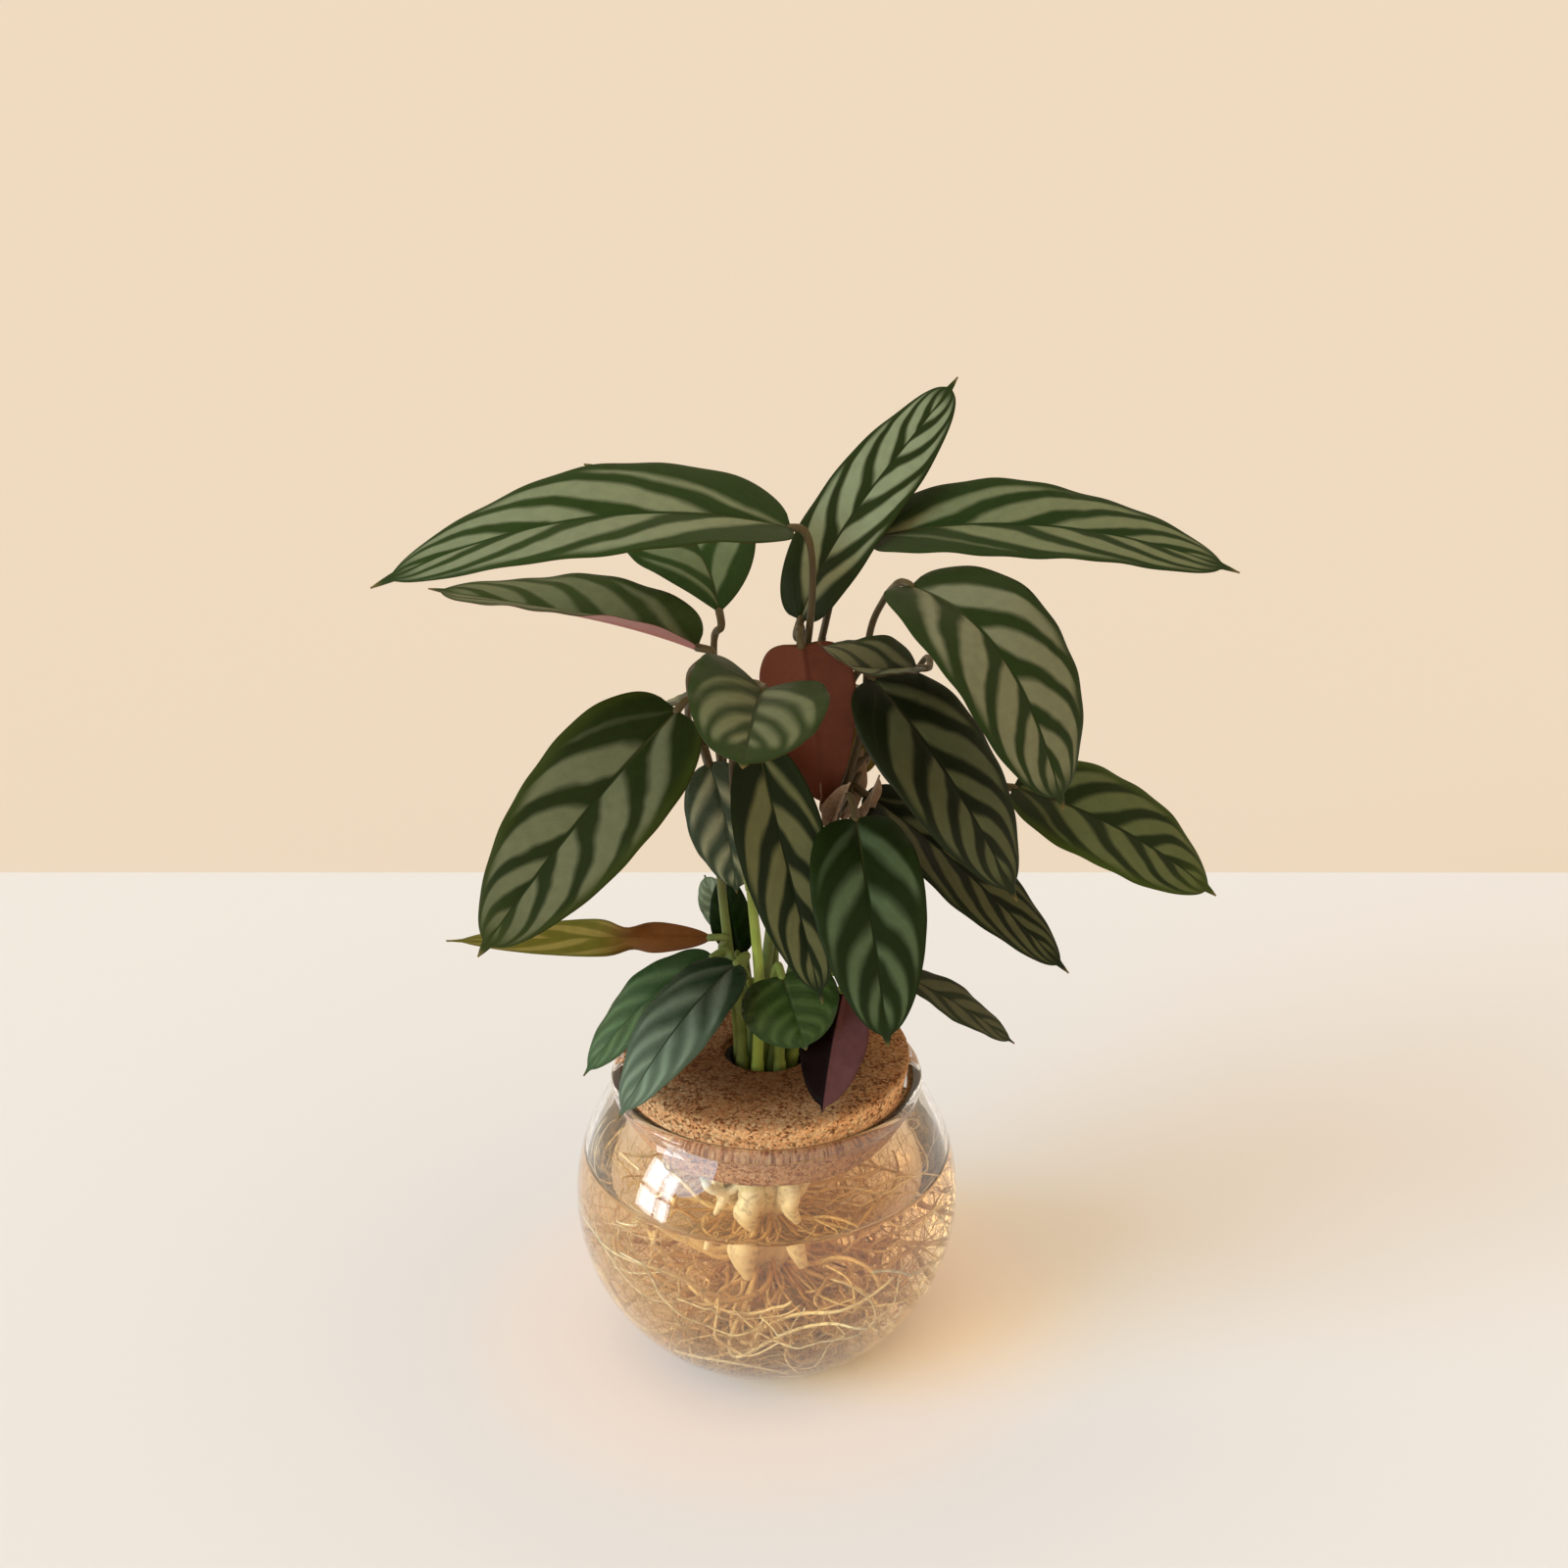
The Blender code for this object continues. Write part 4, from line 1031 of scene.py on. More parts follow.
# %% The table of canes
CANES = {
    "cane_left": (
        Stalk(risen((-14, 3), (-10.6, 1.9), (-17, 5, 200), (-18, 5, 240)), 3.8, 1.5),
        Stalk(((-18, 5, 238), (-24, 5, 262), (-28, 6, 284)), 1.6, 1.2, "leaf_upper_left_under"),
        Stalk(((-21, 5, 250), (-28, 0, 268)), 1.4, 1.2, "leaf_left_front"),
        Stalk(((-18, 5, 238), (-21, 4, 248)), 1.3, 1.1, "leaf_left_inner"),
        Stalk(((-13.5, 4, 160), (-17, 4, 171)), 1.4, 1.1, "leaf_twisted"),
    ),
    "cane_front": (
        Stalk(risen((-6, -13), (-3.3, -10.3), (-2.5, -12, 165), (-6, -13, 212)), 5.5, 1.8),
        Stalk(((-6, -13, 208), (-7, -9, 250)), 1.7, 1.2, "leaf_front_centre"),
        Stalk(((-6, -13, 206), (-12, -14, 255), (-7, -24, 293)), 1.7, 1.2, "leaf_heart"),
    ),
    "cane_centre": (
        Stalk(risen((-4, -2), (-3.5, -2), (6, 2, 220), (12, 4, 280)), 3.0, 1.7),
        Stalk(((12, 4, 278), (16, 1, 306), (17, -3, 332)), 1.5, 1.2, "leaf_upper_left"),
        Stalk(((12, 4, 276), (13, 7, 296)), 1.4, 1.2, "leaf_top"),
        Stalk(((12, 4, 284), (13, 3, 304)), 1.4, 1.2, "leaf_hanging_back"),
    ),
    "cane_node": (
        Stalk(risen((4.5, -3), (3.5, -2), (16, -1, 190), (27, 0, 236)), 3.0, 2.2),
        Stalk(((26, 0, 232), (30, -12, 245)), 1.4, 1.2, "leaf_front_right"),
        Stalk(((26, 0, 230), (31, 1, 237)), 1.4, 1.2, "leaf_low_right"),
        Stalk(((27, 0, 234), (27, 8, 236)), 1.2, 1.0, "leaf_mustard"),
        Stalk(((27, 0, 232), (28, 4, 262), (30, 5, 278)), 1.4, 1.1, "leaf_right_shaded"),
        Stalk(((27, 0, 232), (36, 9, 265), (38, 13, 297), (43, 8, 314)), 1.5, 1.2, "leaf_right_front"),
        Stalk(((27, 0, 232), (43, 13, 258), (58, 12, 288)), 1.4, 1.1, "leaf_right_folded"),
        Stalk(((27, 0, 232), (36, 8, 250), (60, 14, 258), (82, 14, 248)), 1.6, 1.2, "leaf_mid_right"),
    ),
    "cane_right": (
        Stalk(risen((12, 8), (8.8, 6.2), (12, 12, 180), (17, 18, 250), (21, 20, 294)), 3.4, 1.4),
        Stalk(((20, 20, 290), (27, 21, 320)), 1.4, 1.2, "leaf_upper_right"),
        Stalk(((16, 17, 240), (23, 24, 256)), 1.4, 1.2, "leaf_back_right"),
    ),
    "cane_back_left": (
        Stalk(risen((-8, 12), (-5.4, 9.4), (-12, 18, 190), (-17, 22, 240), (-20, 20, 270)), 3.2, 1.4),
        Stalk(((-19, 20, 264), (-19, 17, 294)), 1.4, 1.2, "leaf_back_left_top"),
        Stalk(((-16, 21, 232), (-16, 26, 252)), 1.4, 1.2, "leaf_back_left"),
        Stalk(((-8, 13, 148), (-13, 20, 162)), 1.2, 1.0, "leaf_small_round_back"),
    ),
    "cane_rim": (
        Stalk(risen((-16, -8), (-9.2, -5.7), (-10, -8, 160)), 3.4, 1.8),
        Stalk(((-10, -8, 154), (-10, -11, 168)), 1.5, 1.2, "leaf_over_rim"),
        Stalk(((-10, -8, 150), (-12, -6, 168)), 1.5, 1.2, "leaf_over_rim_back"),
        Stalk(((-10, -7, 144), (-12, -4, 160)), 1.2, 1.0, "leaf_rim_dark"),
    ),
    "cane_front_right": (
        Stalk(risen((8, -12), (5.1, -9.5), (5, -12, 160)), 4.0, 1.8),
        Stalk(((5, -12, 154), (3, -14, 168)), 1.4, 1.2, "leaf_small_round_front"),
        Stalk(((5, -11, 150), (20, -14, 170)), 1.4, 1.2, "leaf_purple_hanging"),
    ),
    "cane_low_right": (
        Stalk(risen((14, -3), (10.6, -1.9), (26, -2, 154), (42, -2, 165)), 3.0, 1.4, "leaf_small_right"),
    ),
    "cane_small": (
        Stalk(risen((0, 5), (0, 4), (-6, 7, 156)), 2.6, 1.6),
        Stalk(((-5, 6.5, 150), (-9, 9, 160)), 1.2, 1.0, "leaf_small_dark"),
    ),
    "cane_back": (
        Stalk(risen((4, 14), (2.8, 10.4), (3, 20, 220), (3, 24, 256)), 3.0, 1.3, "leaf_back_middle"),
    ),
}
print("stalks in the table:", sum(len(stalks) for stalks in CANES.values()))

# %% [markdown]
# ## Smooth curves and tubes
# Stalks and roots are tubes: a circle carried along a smooth curve. Blender can bevel a curve into a
# tube, but an array of points can carry a mark for the finish, and hundreds of roots are made at once.
# The circle must not twist, so each step only turns it as far as the curve turns.

# %% Smooth curves
def curve_through(points, count):
    """A Catmull-Rom curve through the points, read at count places spaced by its straight lengths."""
    points = np.array(points, float)
    if len(points) == 2:
        points = np.insert(points, 1, points.mean(0), 0)
    padded = np.vstack([2 * points[0] - points[1], points, 2 * points[-1] - points[-2]])
    run = run_along(points)
    places = np.interp(np.linspace(0, run[-1], count), run, np.arange(len(points)))
    start = np.minimum(places.astype(int), len(points) - 2)
    t = (places - start)[:, None]
    before, here, there, after = (padded[start + i] for i in range(4))
    bent = (2 * before - 5 * here + 4 * there - after) * t**2
    swung = (3 * here - before - 3 * there + after) * t**3
    return (2 * here + (there - before) * t + bent + swung) / 2


print("a curve through three points begins", curve_through([(0, 0), (1, 1), (2, 0)], 5)[:2].round(2).tolist())

# %% Tubes
def tubes(paths, radii, sides):
    """Points and faces of closed tubes along several paths at once, shaped (tubes, places, 3).

    Each ring is radius * (cos a * across + sin a * other). across is the last ring's, less its part
    along the curve. Both ends are closed by a point.
    """
    ahead = unit(np.gradient(paths, axis=1))
    across = np.empty_like(ahead)
    last = np.cross(ahead[:, 0], (0.9, 0.1, 0.3))
    for i in range(paths.shape[1]):
        last = unit(last - ahead[:, i] * (last * ahead[:, i]).sum(1, keepdims=True))
        across[:, i] = last
    other = np.cross(ahead, across)
    angles = np.arange(sides) * 2 * math.pi / sides
    ring = across[:, :, None] * np.cos(angles)[:, None] + other[:, :, None] * np.sin(angles)[:, None]
    points = paths[:, :, None] + ring * radii[:, :, None, None]
    count, places = paths.shape[:2]
    size = places * sides + 2
    start = paths[:, 0] - ahead[:, 0] * radii[:, :1] * 0.4
    stop = paths[:, -1] + ahead[:, -1] * radii[:, -1:] * 0.4
    tips = np.stack([start, stop], 1)
    points = np.concatenate([points.reshape(count, -1, 3), tips], 1).reshape(-1, 3)
    first = (np.arange(count) * size)[:, None, None]
    quads = (grid_faces(places, sides, wrap=True)[None] + first).reshape(-1, 4)
    turn = np.arange(sides)
    after = np.roll(turn, -1)
    end = (places - 1) * sides
    low = np.stack([np.full(sides, size - 2), after, turn], 1)
    high = np.stack([end + turn, end + after, np.full(sides, size - 1)], 1)
    fans = (np.concatenate([low, high])[None] + first).reshape(-1, 3)
    return points, [quads, fans]


def per_point(values, places, sides):
    """One value for each tube's place, given to every point of its ring and to its two tips."""
    values = np.broadcast_to(values, (len(values), places))
    rings = np.repeat(values, sides, 1)
    return np.hstack([rings, values[:, :1], values[:, -1:]]).ravel()


# %% [markdown]
# ## The finish of the stems
# One stem changes colour on its way: cream where it stood in the dark of the bowl, green above the
# cork, then olive and brown where it has aged. Height gives that change. A mark on the mesh makes the
# freshest ones lime green.

# %% The finish of the stems
def stem_finish():
    """Blotched green with fine fibres along it: olive high up, lime where fresh, and cream in the bowl."""
    finish = Finish("smooth_stem", roughness=0.4, gloss=0.25)
    place = finish.place()
    _, _, height = finish.split(place)
    along_stem = finish.add("Mapping", {"Scale": (1.0, 1.0, 0.05), "Vector": place}).outputs[0]
    fibre = finish.noise(along_stem, 1500, 3)
    blotch = finish.noise(place, 160, 3)
    green = finish.mix(blotch, (0.10, 0.15, 0.030), (0.24, 0.29, 0.075))
    lime = finish.mix(blotch, (0.30, 0.42, 0.06), (0.46, 0.58, 0.12))
    olive = finish.mix(blotch, (0.052, 0.036, 0.013), (0.112, 0.080, 0.028))
    cream = finish.mix(blotch, (0.70, 0.62, 0.34), (0.94, 0.90, 0.66))
    base = finish.mix(finish.rise(height, 0.17, 0.23), green, olive)
    base = finish.mix(finish.mark("fresh"), base, lime)
    base = finish.mix(finish.rise(height, 0.112, 0.092), base, cream)
    base = finish.mix(finish.times(finish.rise(fibre, 0.45, 0.75), 0.22), base, (0.05, 0.04, 0.015))
    finish.colour(base)
    finish.bump(fibre, 0.00025, 0.5)
    return finish.material


# %% [markdown]
# ## The canes
# A cane is thick where it stands on the crown, and slim from the collar up. Under each leaf its stalk
# ends in a short swollen joint, as the real one does. All stalks of a cane go into one mesh, because
# they grow from each other.

# %% Routes and radii of the stems
STEM_PLACES = 56
STEM_SIDES = 14
CANE_SWELL_TOP = 0.090
CANE_SLIM_FROM = 0.099
CANE_RADIUS = 0.0025
JOINT_LENGTH = 0.012
JOINT_SWELL = 0.32


def stem_path(piece):
    """The points of a stalk in metres, up to the base of its leaf."""
    points = list(piece.points)
    if piece.leaf:
        places, ahead, _, _ = blade_frame(BLADES[piece.leaf], np.zeros(1))
        points.append(places[0] / MM - ahead[0] * 6)
        points.append(places[0] / MM + ahead[0] * 1.5)
    return curve_through(points, STEM_PLACES) * MM


def stem_radii(piece, path):
    """Thick at the crown, slim from the collar up, and swollen in the joint under a leaf."""
    thick = piece.thick * MM
    height = path[:, 2]
    in_lid = np.interp(height, [CANE_SWELL_TOP, CANE_SLIM_FROM], [thick, CANE_RADIUS])
    in_air = np.linspace(min(thick, CANE_RADIUS), piece.thin * MM, STEM_PLACES)
    radii = np.where(height < CORK_TOP, in_lid, in_air)
    if piece.leaf:
        left = np.linalg.norm(path - path[-1], axis=1)
        radii = radii * (1 + JOINT_SWELL * np.clip(1 - left / JOINT_LENGTH, 0, 1) ** 0.5)
        radii[-1] *= 0.55
    return radii


# %% The stems
FRESH_TOP = 0.235
FRESH_FADE = 0.05
FRESH = {"cane_front": 0.95, "cane_small": 0.45, "cane_low_right": 0.35, "cane_front_right": 0.3}
stem_material = stem_finish()
for node, stalks in CANES.items():
    paths = np.stack([stem_path(piece) for piece in stalks])
    radii = np.stack([stem_radii(piece, path) for piece, path in zip(stalks, paths)])
    points, blocks = tubes(paths, radii, STEM_SIDES)
    fresh = FRESH.get(node, 0.0) * np.clip((FRESH_TOP - paths[:, :, 2]) / FRESH_FADE, 0, 1)
    marks = {"fresh": per_point(fresh, STEM_PLACES, STEM_SIDES)}
    new_piece(node.replace("cane", "stems"), points, blocks, stem_material, node, marks)
print("canes:", len(CANES))

# %% [markdown]
# ## The crown
# Under the lid the stems swell into cream stem bases, which have grown together round a core, and four
# young shoots stand out at the front. They are pale, smooth and a little wet. Roots have the same
# skin, only browner and duller, so one finish serves both, with a mark that picks a tone for each.

# %% The finish of the crown and the roots
def root_finish(name, dark, pale, roughness):
    """Root skin between two tones, picked by a mark of each root, with darker spots."""
    finish = Finish(name, roughness=roughness)
    place = finish.place()
    spots = finish.rise(finish.noise(place, 300, 3), 0.48, 0.72)
    base = finish.mix(finish.mark("tone"), dark, pale)
    finish.colour(finish.mix(finish.times(spots, 0.6), base, toned(dark, 0.45)))
    finish.bump(finish.noise(place, 1600, 2), 0.00015, 0.5)
    return finish.material


# %% [markdown]
# ## Stem bases, shoots and core
# A stem base runs from low on the core up to the foot of its cane. A shoot swells and narrows on its
# way, so it has a row of radii. All are tubes that run into each other, which looks like one grown
# piece. A merged surface would take more work, and the joins lie in the dark between the bases.

# %% Shapes of the stem bases
CROWN_SIDES = 20
BASE_SWELL = 0.017
BASE_END = 0.0015
SHOOTS = (
    (((-6, -13, 72), (-6, -15, 62), (-8, -17, 53), (-6, -19, 42)), (4.8, 5.0, 4.4, 5.0, 5.2, 3.6, 1.4)),
    (((8, -12, 72), (10, -14, 62), (9, -15, 54), (12, -16, 45)), (3.6, 3.8, 3.3, 3.4, 3.0, 1.6)),
    (((-15, -8, 77), (-19, -12, 70), (-17, -15, 62), (-20, -17, 52)), (2.8, 3.0, 2.2, 2.5, 1.8, 1.0)),
    (((-10, -12, 68), (-16, -15, 66), (-22, -17, 71), (-25, -17, 79)), (2.6, 2.2, 2.6, 2.0, 1.0)),
)


def stem_base(foot, thick):
    """A stem base's path, from low on the crown up to the foot of its cane, and its radii."""
    x, y = foot
    points = [(0.35 * x, 0.35 * y, -30), (0.85 * x, 0.85 * y, -16), (x, y, -6), (x, y, 1)]
    points = np.array(points) + (0, 0, CROWN_TOP / MM)
    path = curve_through(points, STEM_PLACES) * MM
    low = CROWN_BOTTOM + 0.004
    radii = np.interp(path[:, 2], [low, low + BASE_SWELL, CROWN_TOP], [BASE_END, thick, 0.97 * thick])
    return path, radii


def shoot(points, radii):
    """A pale shoot through points in millimetres, with radii in millimetres at even places along it."""
    places = np.linspace(0, 1, len(radii))
    thick = np.interp(np.linspace(0, 1, STEM_PLACES), places, radii)
    return curve_through(points, STEM_PLACES) * MM, thick * MM


def crown_core():
    """The core of the crown: a slightly wavy upright tube, thin at its foot."""
    height = np.linspace(CROWN_BOTTOM, CROWN_TOP - 0.004, STEM_PLACES)
    path = np.stack([0.0012 * np.sin(height * 300), 0.0012 * np.cos(height * 260), height], 1)
    return path, np.interp(height, [CROWN_BOTTOM, CROWN_BOTTOM + 0.012, CROWN_TOP], [0.003, 0.0105, 0.010])


# %% The crown
def triangles_in(blocks):
    """How many triangles blocks of faces make: two less than its corners for each face."""
    return sum(len(block) * (block.shape[1] - 2) for block in blocks)


def root_piece(name, paths, radii, sides, tone, finish):
    """Tubes with one tone each, as one new piece of the crown and its roots."""
    points, blocks = tubes(paths, radii, sides)
    marks = {"tone": per_point(tone, paths.shape[1], sides)}
    new_piece(name, points, blocks, finish, "crown_and_roots", marks)
    print(name + ":", len(paths), "tubes with", triangles_in(blocks), "triangles")


bases = [stem_base(stalks[0].points[0][:2], stalks[0].thick * MM) for stalks in CANES.values()]
bases += [shoot(points, radii) for points, radii in SHOOTS]
bases.append(crown_core())
paths = np.stack([path for path, _ in bases])
radii = np.stack([radius for _, radius in bases])
tone = np.linspace(0.65, 1.0, len(bases))[:, None]
crown_skin = root_finish("cream_stem_base", (0.76, 0.62, 0.38), (0.98, 0.92, 0.74), 0.35)
root_piece("crown_of_stem_bases", paths, radii, CROWN_SIDES, tone, crown_skin)

# %% [markdown]
# ## Roots
# The roots leave the crown, run down and out to the wall of the bowl, and then circle along it. Each
# wanders on the way, by a sum of a few sine waves with random phases, and none may pass the glass or
# the water's surface. All of them are worked out in one array. The thick ones are pale, and each bends
# in wide curls. In front of the crown they stay low, so that its stem bases can be seen.

# %% The room for roots
ROOT_FLOOR = 0.0052
SURFACE_GAP = 0.0015
FRONT_DROP = 0.041


def kept_inside(paths, margin):
    """Paths pulled in where they would pass the wall of the bowl, its floor or the water's surface.

    The surface counts as lower in front of the crown: by FRONT_DROP * exp(-((x + 3 mm) / 24 mm) ** 4),
    from nothing at 6 mm in front of the axis to the whole of it at 18 mm.
    """
    centre = np.array([0, 0, BOWL_CENTRE])
    out = paths - centre
    far = np.linalg.norm(out, axis=2, keepdims=True)
    limit = inner_radius - margin
    paths = centre + out * np.minimum(1, limit / far)
    x, y, _ = np.moveaxis(paths, -1, 0)
    before = np.clip((-0.006 - y) / 0.012, 0, 1) * np.exp(-(((x + 0.003) / 0.024) ** 4))
    highest = WATER_LEVEL - SURFACE_GAP - FRONT_DROP * before
    paths[..., 2] = np.minimum(paths[..., 2], highest).clip(ROOT_FLOOR, None)
    return paths


print("roots stay from", ROOT_FLOOR, "to", round(WATER_LEVEL - SURFACE_GAP, 4), "m above the table")

# %% Routes of the roots
ROOT_REACH = 0.069
GOLDEN_TURN = 0.618
draw = np.random.default_rng(7)


def wander(count, places, amount, turns, fall):
    """Sideways moves of each root: sine waves of one to four times as many turns, each weaker by fall."""
    t = np.linspace(0, 1, places)[None, :, None]
    total = 0
    for k in range(1, 5):
        phase = draw.uniform(0, 2 * math.pi, (count, 1, 3))
        pace = turns * k * draw.uniform(0.7, 1.3, (count, 1, 1))
        total = total + np.sin(2 * math.pi * pace * t + phase) / k**fall
    return amount * total * t**0.7


def root_paths(count, places, curl, turns):
    """Points at reach * (sin(up) cos(around), sin(up) sin(around), cos(up)) from the crown, and a wander.

    reach grows with sin(t * pi / 2) ** 0.8, and both angles change along the root.
    """
    t = np.linspace(0, 1, places)[None]
    turn = 2 * math.pi * (np.arange(count) + draw.uniform(-0.5, 0.5, count))[:, None] * GOLDEN_TURN
    start = draw.uniform(0.003, 0.010, (count, 1))
    end = ROOT_REACH * draw.uniform(0.55, 1.0, (count, 1))
    reach = start + (end - start) * np.sin(t * math.pi / 2) ** 0.8
    around = turn + draw.uniform(-1.9, 1.9, (count, 1)) * t**1.6
    up = np.radians(draw.uniform(95, 165, (count, 1)) + draw.uniform(-45, 35, (count, 1)) * t)
    x = reach * np.sin(up) * np.cos(around)
    y = reach * np.sin(up) * np.sin(around)
    z = BOWL_CENTRE - draw.uniform(0.010, 0.026, (count, 1)) * (1 - t) + reach * np.cos(up)
    return np.stack([x, y, z], 2) + wander(count, places, curl, turns, 1.6)


# %% Thick and slim roots
ROOT_COUNT = 110
THICK_COUNT = 46
ROOT_PLACES = 60
ROOT_SIDES = 8
ROOT_MARGIN = 0.0016
THICK_RADIUS = 0.00100
SLIM_RADIUS = 0.00055
thick_paths = root_paths(THICK_COUNT, ROOT_PLACES, 0.0090, 0.9)
slim_paths = root_paths(ROOT_COUNT - THICK_COUNT, ROOT_PLACES, 0.0070, 1.5)
paths = kept_inside(np.concatenate([thick_paths, slim_paths]), ROOT_MARGIN)
thick = np.where(np.arange(ROOT_COUNT) < THICK_COUNT, THICK_RADIUS, SLIM_RADIUS)[:, None]
radii = thick * draw.uniform(0.8, 1.15, (ROOT_COUNT, 1)) * np.linspace(1, 0.55, ROOT_PLACES)[None]
radii = radii * (1 + 0.08 * np.sin(np.arange(ROOT_PLACES) * 1.7)[None])
tone = draw.uniform(0, 1, (ROOT_COUNT, 1)) ** 0.7
root_skin = root_finish("tan_root", (0.70, 0.45, 0.19), (1.0, 0.86, 0.56), 0.38)
root_piece("roots_in_water", paths, radii, ROOT_SIDES, tone, root_skin)

# %% [markdown]
# ## Rootlets
# Far more roots are thinner than a thread. They branch off the thick ones or creep along the glass, and
# they are what makes the water look brown and cloudy. A haze in the water could do that too, but it
# would hide the thick roots. Each rootlet is a thin tube of three sides, which is enough at its size.

# %% Rootlets that branch off
TWIG_COUNT = 1100
TWIG_PLACES = 9
ROOTLET_MARGIN = 0.0012
parent = draw.integers(0, ROOT_COUNT, TWIG_COUNT)
place = draw.integers(8, ROOT_PLACES - 2, TWIG_COUNT)
way = unit(draw.normal(size=(TWIG_COUNT, 1, 3)))
length = draw.uniform(0.008, 0.024, (TWIG_COUNT, 1, 1))
t = np.linspace(0, 1, TWIG_PLACES)[None, :, None]
sag = np.array([0, 0, -0.35]) * t**2 * length
twigs = paths[parent, place][:, None] + way * length * t + sag
twigs = kept_inside(twigs + wander(TWIG_COUNT, TWIG_PLACES, 0.0016, 0.5, 1), ROOTLET_MARGIN)
print("rootlets on roots:", len(twigs))

# %% [markdown]
# ## Rootlets at the glass
# Each of these is an arc about the middle of the bowl, at its own depth behind the glass. Of all the
# arcs drawn, those stay that lie in the water and leave two places clear, at the right and in front of
# the crown, where one can look into the bowl. A few more cling to the glass above the water.

# %% Rootlets that creep along the glass
CREEPER_COUNT = 1300
CREEPER_PLACES = 12
CLEAR_SIDE = np.array([0.75, -0.35, 0.45])
CLEAR_FROM = 0.032
FILM = 0.0006
first = unit(draw.normal(size=(CREEPER_COUNT, 3)) - [0, 0, 0.35])
second = unit(np.cross(first, draw.normal(size=(CREEPER_COUNT, 3))))
angle = draw.uniform(0.3, 0.9, (CREEPER_COUNT, 1, 1)) * np.linspace(0, 1, CREEPER_PLACES)[None, :, None]
depth = inner_radius - draw.uniform(0.002, 0.024, (CREEPER_COUNT, 1, 1))
creepers = (first[:, None] * np.cos(angle) + second[:, None] * np.sin(angle)) * depth
creepers = creepers + wander(CREEPER_COUNT, CREEPER_PLACES, 0.0020, 0.7, 1)
middle = creepers.mean(1)
lowest, highest = creepers[:, :, 2].min(1), creepers[:, :, 2].max(1)
at_front = (np.abs(middle[:, 0] + 0.004) < 0.026) & (middle[:, 1] < 0) & (middle[:, 2] > -0.030)
in_water = (highest < WATER_LEVEL - BOWL_CENTRE) & ~at_front & (middle @ CLEAR_SIDE <= CLEAR_FROM)
clinging = (lowest > 0.024) & (highest < 0.048) & (middle[:, 0] > 0.030)
stranded = unit(creepers[clinging]) * (inner_radius - FILM)
creepers = kept_inside(creepers[in_water] + [0, 0, BOWL_CENTRE], ROOTLET_MARGIN)
creepers = np.concatenate([creepers, stranded + [0, 0, BOWL_CENTRE]])
print("rootlets at the glass:", len(creepers), "of which above the water:", len(stranded))

# %% The rootlets as two pieces
ROOTLET_RADIUS = 0.00018
ROOTLET_SIDES = 3
rootlet_skin = root_finish("brown_rootlet", (0.62, 0.38, 0.16), (0.92, 0.68, 0.36), 0.6)
for name, routes in (("rootlets_on_roots", twigs), ("rootlets_on_glass", creepers)):
    thick = draw.uniform(0.5, 1, (len(routes), 1)) * ROOTLET_RADIUS
    radii = thick * np.linspace(1, 0.6, routes.shape[1])[None]
    tone = draw.uniform(0, 1, (len(routes), 1))
    root_piece(name, routes, radii, ROOTLET_SIDES, tone, rootlet_skin)

# %% [markdown]
# ## Papery sheaths
# Where several leaf stalks leave a cane, the dry ends of old sheaths stand round it. They are thin,
# pale brown and pointed, like small blades with no stripes, so the blade formula makes them too.

# %% The sheaths
SHEATH_SHAPE = Blade((0, 0, 0), (0, 0, 0), (0, 0, 0), 8, arch=(2, 3), fold=30, curl=-0.3, wave=0.5)
SHEATHS = (
    SHEATH_SHAPE._replace(base=(25, -2, 226), tip=(31, -12, 250), face=(-60, -60, 20), width=9),
    SHEATH_SHAPE._replace(base=(29, -1, 226), tip=(42, -6, 250), face=(60, -40, 20), wave=0.6),
    SHEATH_SHAPE._replace(base=(26, 1, 228), tip=(22, -3, 252), face=(-60, -10, 30), arch=(1, 2)),
    SHEATH_SHAPE._replace(base=(28, 2, 228), tip=(36, 8, 254), face=(40, 40, 30), arch=(2, 2)),
)
SHEATH_SEED = 90


def sheath_finish():
    """Dry brown fibres, pale and dark, in slight relief."""
    finish = Finish("papery_sheath", roughness=0.7)
    fibre = finish.noise(finish.place(), 700, 4)
    finish.colour(finish.mix(fibre, (0.15, 0.085, 0.043), (0.42, 0.285, 0.165)))
    finish.bump(fibre, 0.0003, 0.6)
    return finish.material


# %% The sheaths as one piece
shells = [blade_faces(blade, SHEATH_SEED + number)[:2] for number, blade in enumerate(SHEATHS)]
blocks = []
first = 0
for points, faces in shells:
    blocks += [block + first for block in faces]
    first += len(points)
points = np.vstack([points for points, _ in shells])
new_piece("sheaths_at_the_node", points, blocks, sheath_finish(), "cane_node")
print("sheaths:", len(SHEATHS), "with", triangles_in(blocks), "triangles")

# %% [markdown]
# ## The stage
# The plant stands on a pale table in front of a peach wall. The camera looks down so far that the wall
# behind can be a floor as well: every line of sight meets it further back. A flat floor keeps the plant
# free on all sides, so it can be seen from behind too. Light that has passed through the bowl warms the
# table round its foot. The renderer doesn't follow that light, so the paint has a warm ring there.

# %% Table and backdrop
TABLE_EDGE = 0.387
TABLE_REACH = 4
BACKDROP_REACH = 5
GLOW_START = 0.060
GLOW_END = 0.150
GLOW_COLOUR = (0.98, 0.86, 0.77)


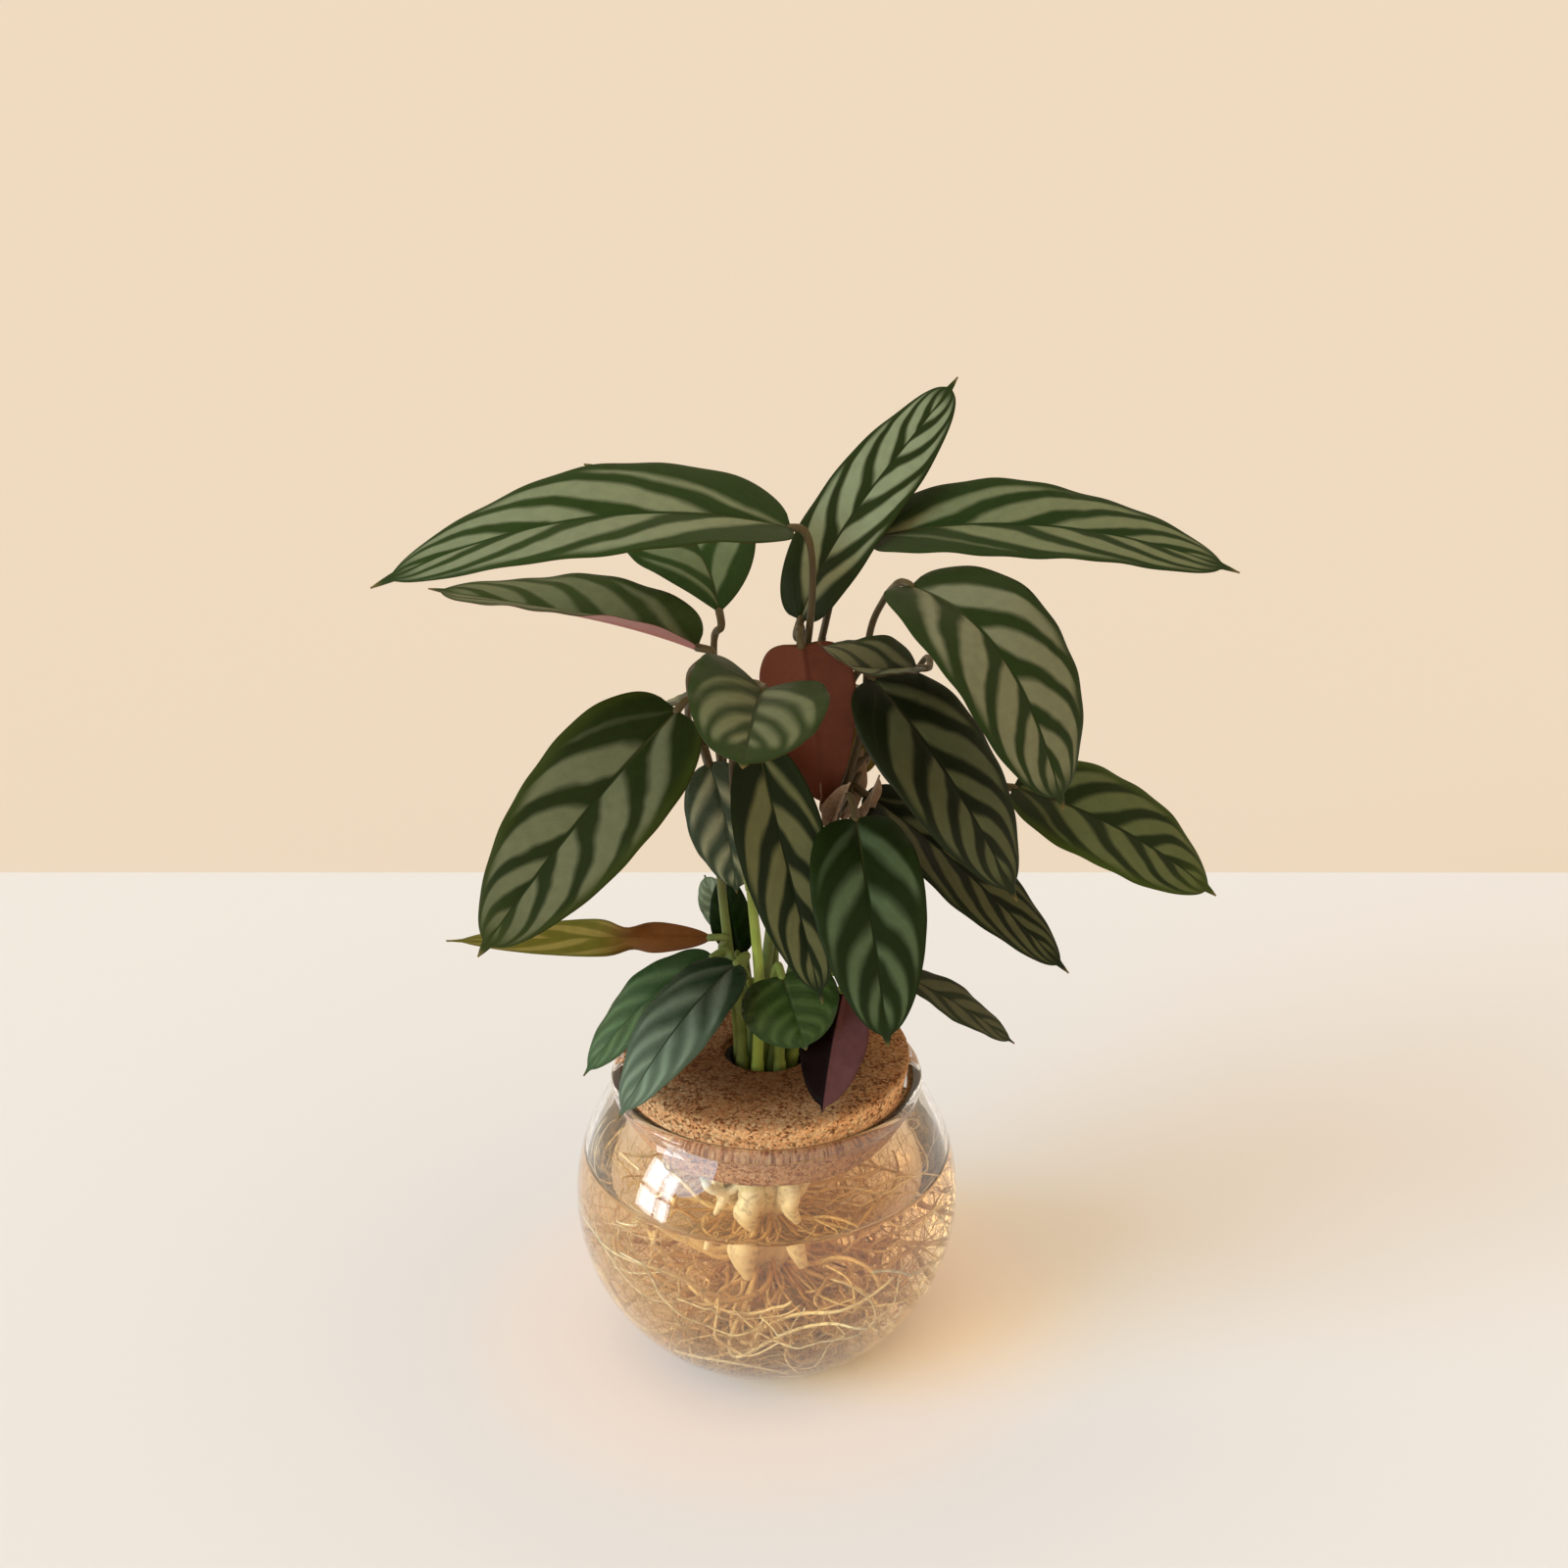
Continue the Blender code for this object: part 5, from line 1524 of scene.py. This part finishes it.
def floor(name, near, far, colour, roughness):
    """A flat rectangle at height 0, from the y of its near edge to that of its far edge."""
    mesh = bpy.data.meshes.new(name)
    left, right = -TABLE_REACH, TABLE_REACH
    corners = [(left, near, 0), (right, near, 0), (right, far, 0), (left, far, 0)]
    mesh.from_pydata(corners, [], [(0, 1, 2, 3)])
    paint = Finish(name + "_paint", colour, roughness, gloss=0)
    glow = paint.rise(paint.radius(paint.place()), GLOW_END, GLOW_START)
    paint.colour(paint.mix(glow, colour, GLOW_COLOUR))
    mesh.materials.append(paint.material)
    made = placed(name, mesh)


floor("pale_table", -TABLE_REACH, TABLE_EDGE, (0.82, 0.82, 0.81), 0.7)
floor("peach_backdrop", TABLE_EDGE, BACKDROP_REACH, (0.785, 0.70, 0.58), 0.9)
print("table and backdrop meet at", TABLE_EDGE, "m behind the plant")

# %% [markdown]
# ## Light
# Daylight comes from a window at the left and a little in front. A wide sun gives its soft, slightly
# blue light, the same all over the table. Four panes stand for the window itself, so they are only seen
# in gloss, as white patches on the glass. The peach room gives a warm light from all sides.

# %% Lamps and the way they face
def facing(way):
    """A turn whose -Z looks against the direction way, with its Y as far up as it can be."""
    back = unit(np.array(way))
    right = unit(np.cross((0, 0, 1), back))
    return np.stack([right, np.cross(back, right), back], 1)


def lamp(name, kind, turn, place, colour):
    """A light of a kind and colour at a place, turned by the columns of turn."""
    made = placed(name, bpy.data.lights.new(name, kind))
    matrix = np.eye(4)
    matrix[:3, :3] = turn
    matrix[:3, 3] = place
    made.matrix_world = matrix.T.tolist()
    made.data.color = colour
    return made


# %% The window and the room
WINDOW_WAY = (-0.95, -0.38, 0.16)
WINDOW_DISTANCE = 1.6
PANE_HEIGHT = 0.40
PANE_WIDTHS = (0.38, 0.20)
PANE_BAR = 0.05
PANE_RADIANCE = 9.0
PANE_COLOUR = (0.90, 0.95, 1.0)
SUN_WAY = (-0.80, -0.42, 0.58)
SUN_STRENGTH = 2.1
SUN_WIDTH = 38
SUN_COLOUR = (0.40, 0.71, 1.0)
ROOM_COLOUR = (1.0, 0.785, 0.57, 1)
ROOM_STRENGTH = 0.96
turn = facing(WINDOW_WAY)
middle = np.array(WINDOW_WAY) * WINDOW_DISTANCE + (0, 0, BOWL_CENTRE)
for side, width in zip((-1, 1), PANE_WIDTHS):
    for level in (-1, 1):
        across = turn[:, 0] * side * (width + PANE_BAR) / 2
        place = middle + across + turn[:, 1] * level * (PANE_HEIGHT + PANE_BAR) / 2
        pane = lamp("pane", "AREA", turn, place, PANE_COLOUR)
        pane.data.shape = "RECTANGLE"
        pane.data.size = width
        pane.data.size_y = PANE_HEIGHT
        pane.data.energy = PANE_RADIANCE * math.pi * width * PANE_HEIGHT
        pane.visible_diffuse = False
sun = lamp("daylight", "SUN", facing(SUN_WAY), (0, 0, 2), SUN_COLOUR)
sun.data.energy = SUN_STRENGTH
sun.data.angle = math.radians(SUN_WIDTH)
sun.visible_glossy = False
room = bpy.data.worlds.new("room")
bpy.context.scene.world = room
room.use_nodes = True
room.node_tree.nodes["Background"].inputs["Color"].default_value = ROOM_COLOUR
room.node_tree.nodes["Background"].inputs["Strength"].default_value = ROOM_STRENGTH
bpy.context.scene.view_settings.view_transform = "Standard"
print("window panes:", 2 * len(PANE_WIDTHS), "and one sun")

# %% [markdown]
# ## The camera
# The camera stands 1.1 m in front of the plant and 0.8 m up. How wide the ovals of the lip and of the
# lid look tells how far it looks down. A long lens keeps the shape of the bowl true.

# %% The camera
CAMERA_PLACE = (0.00678, -1.08413, 0.78390)
CAMERA_TILT = 26.5
CAMERA_LENS = 74.97
SENSOR_WIDTH = 36
camera = placed("camera", bpy.data.cameras.new("camera"))
camera.data.lens = CAMERA_LENS
camera.data.sensor_width = SENSOR_WIDTH
camera.location = CAMERA_PLACE
camera.rotation_euler = (math.radians(90 - CAMERA_TILT), 0, 0)
bpy.context.scene.camera = camera
print("camera looks down by", CAMERA_TILT, "degrees")
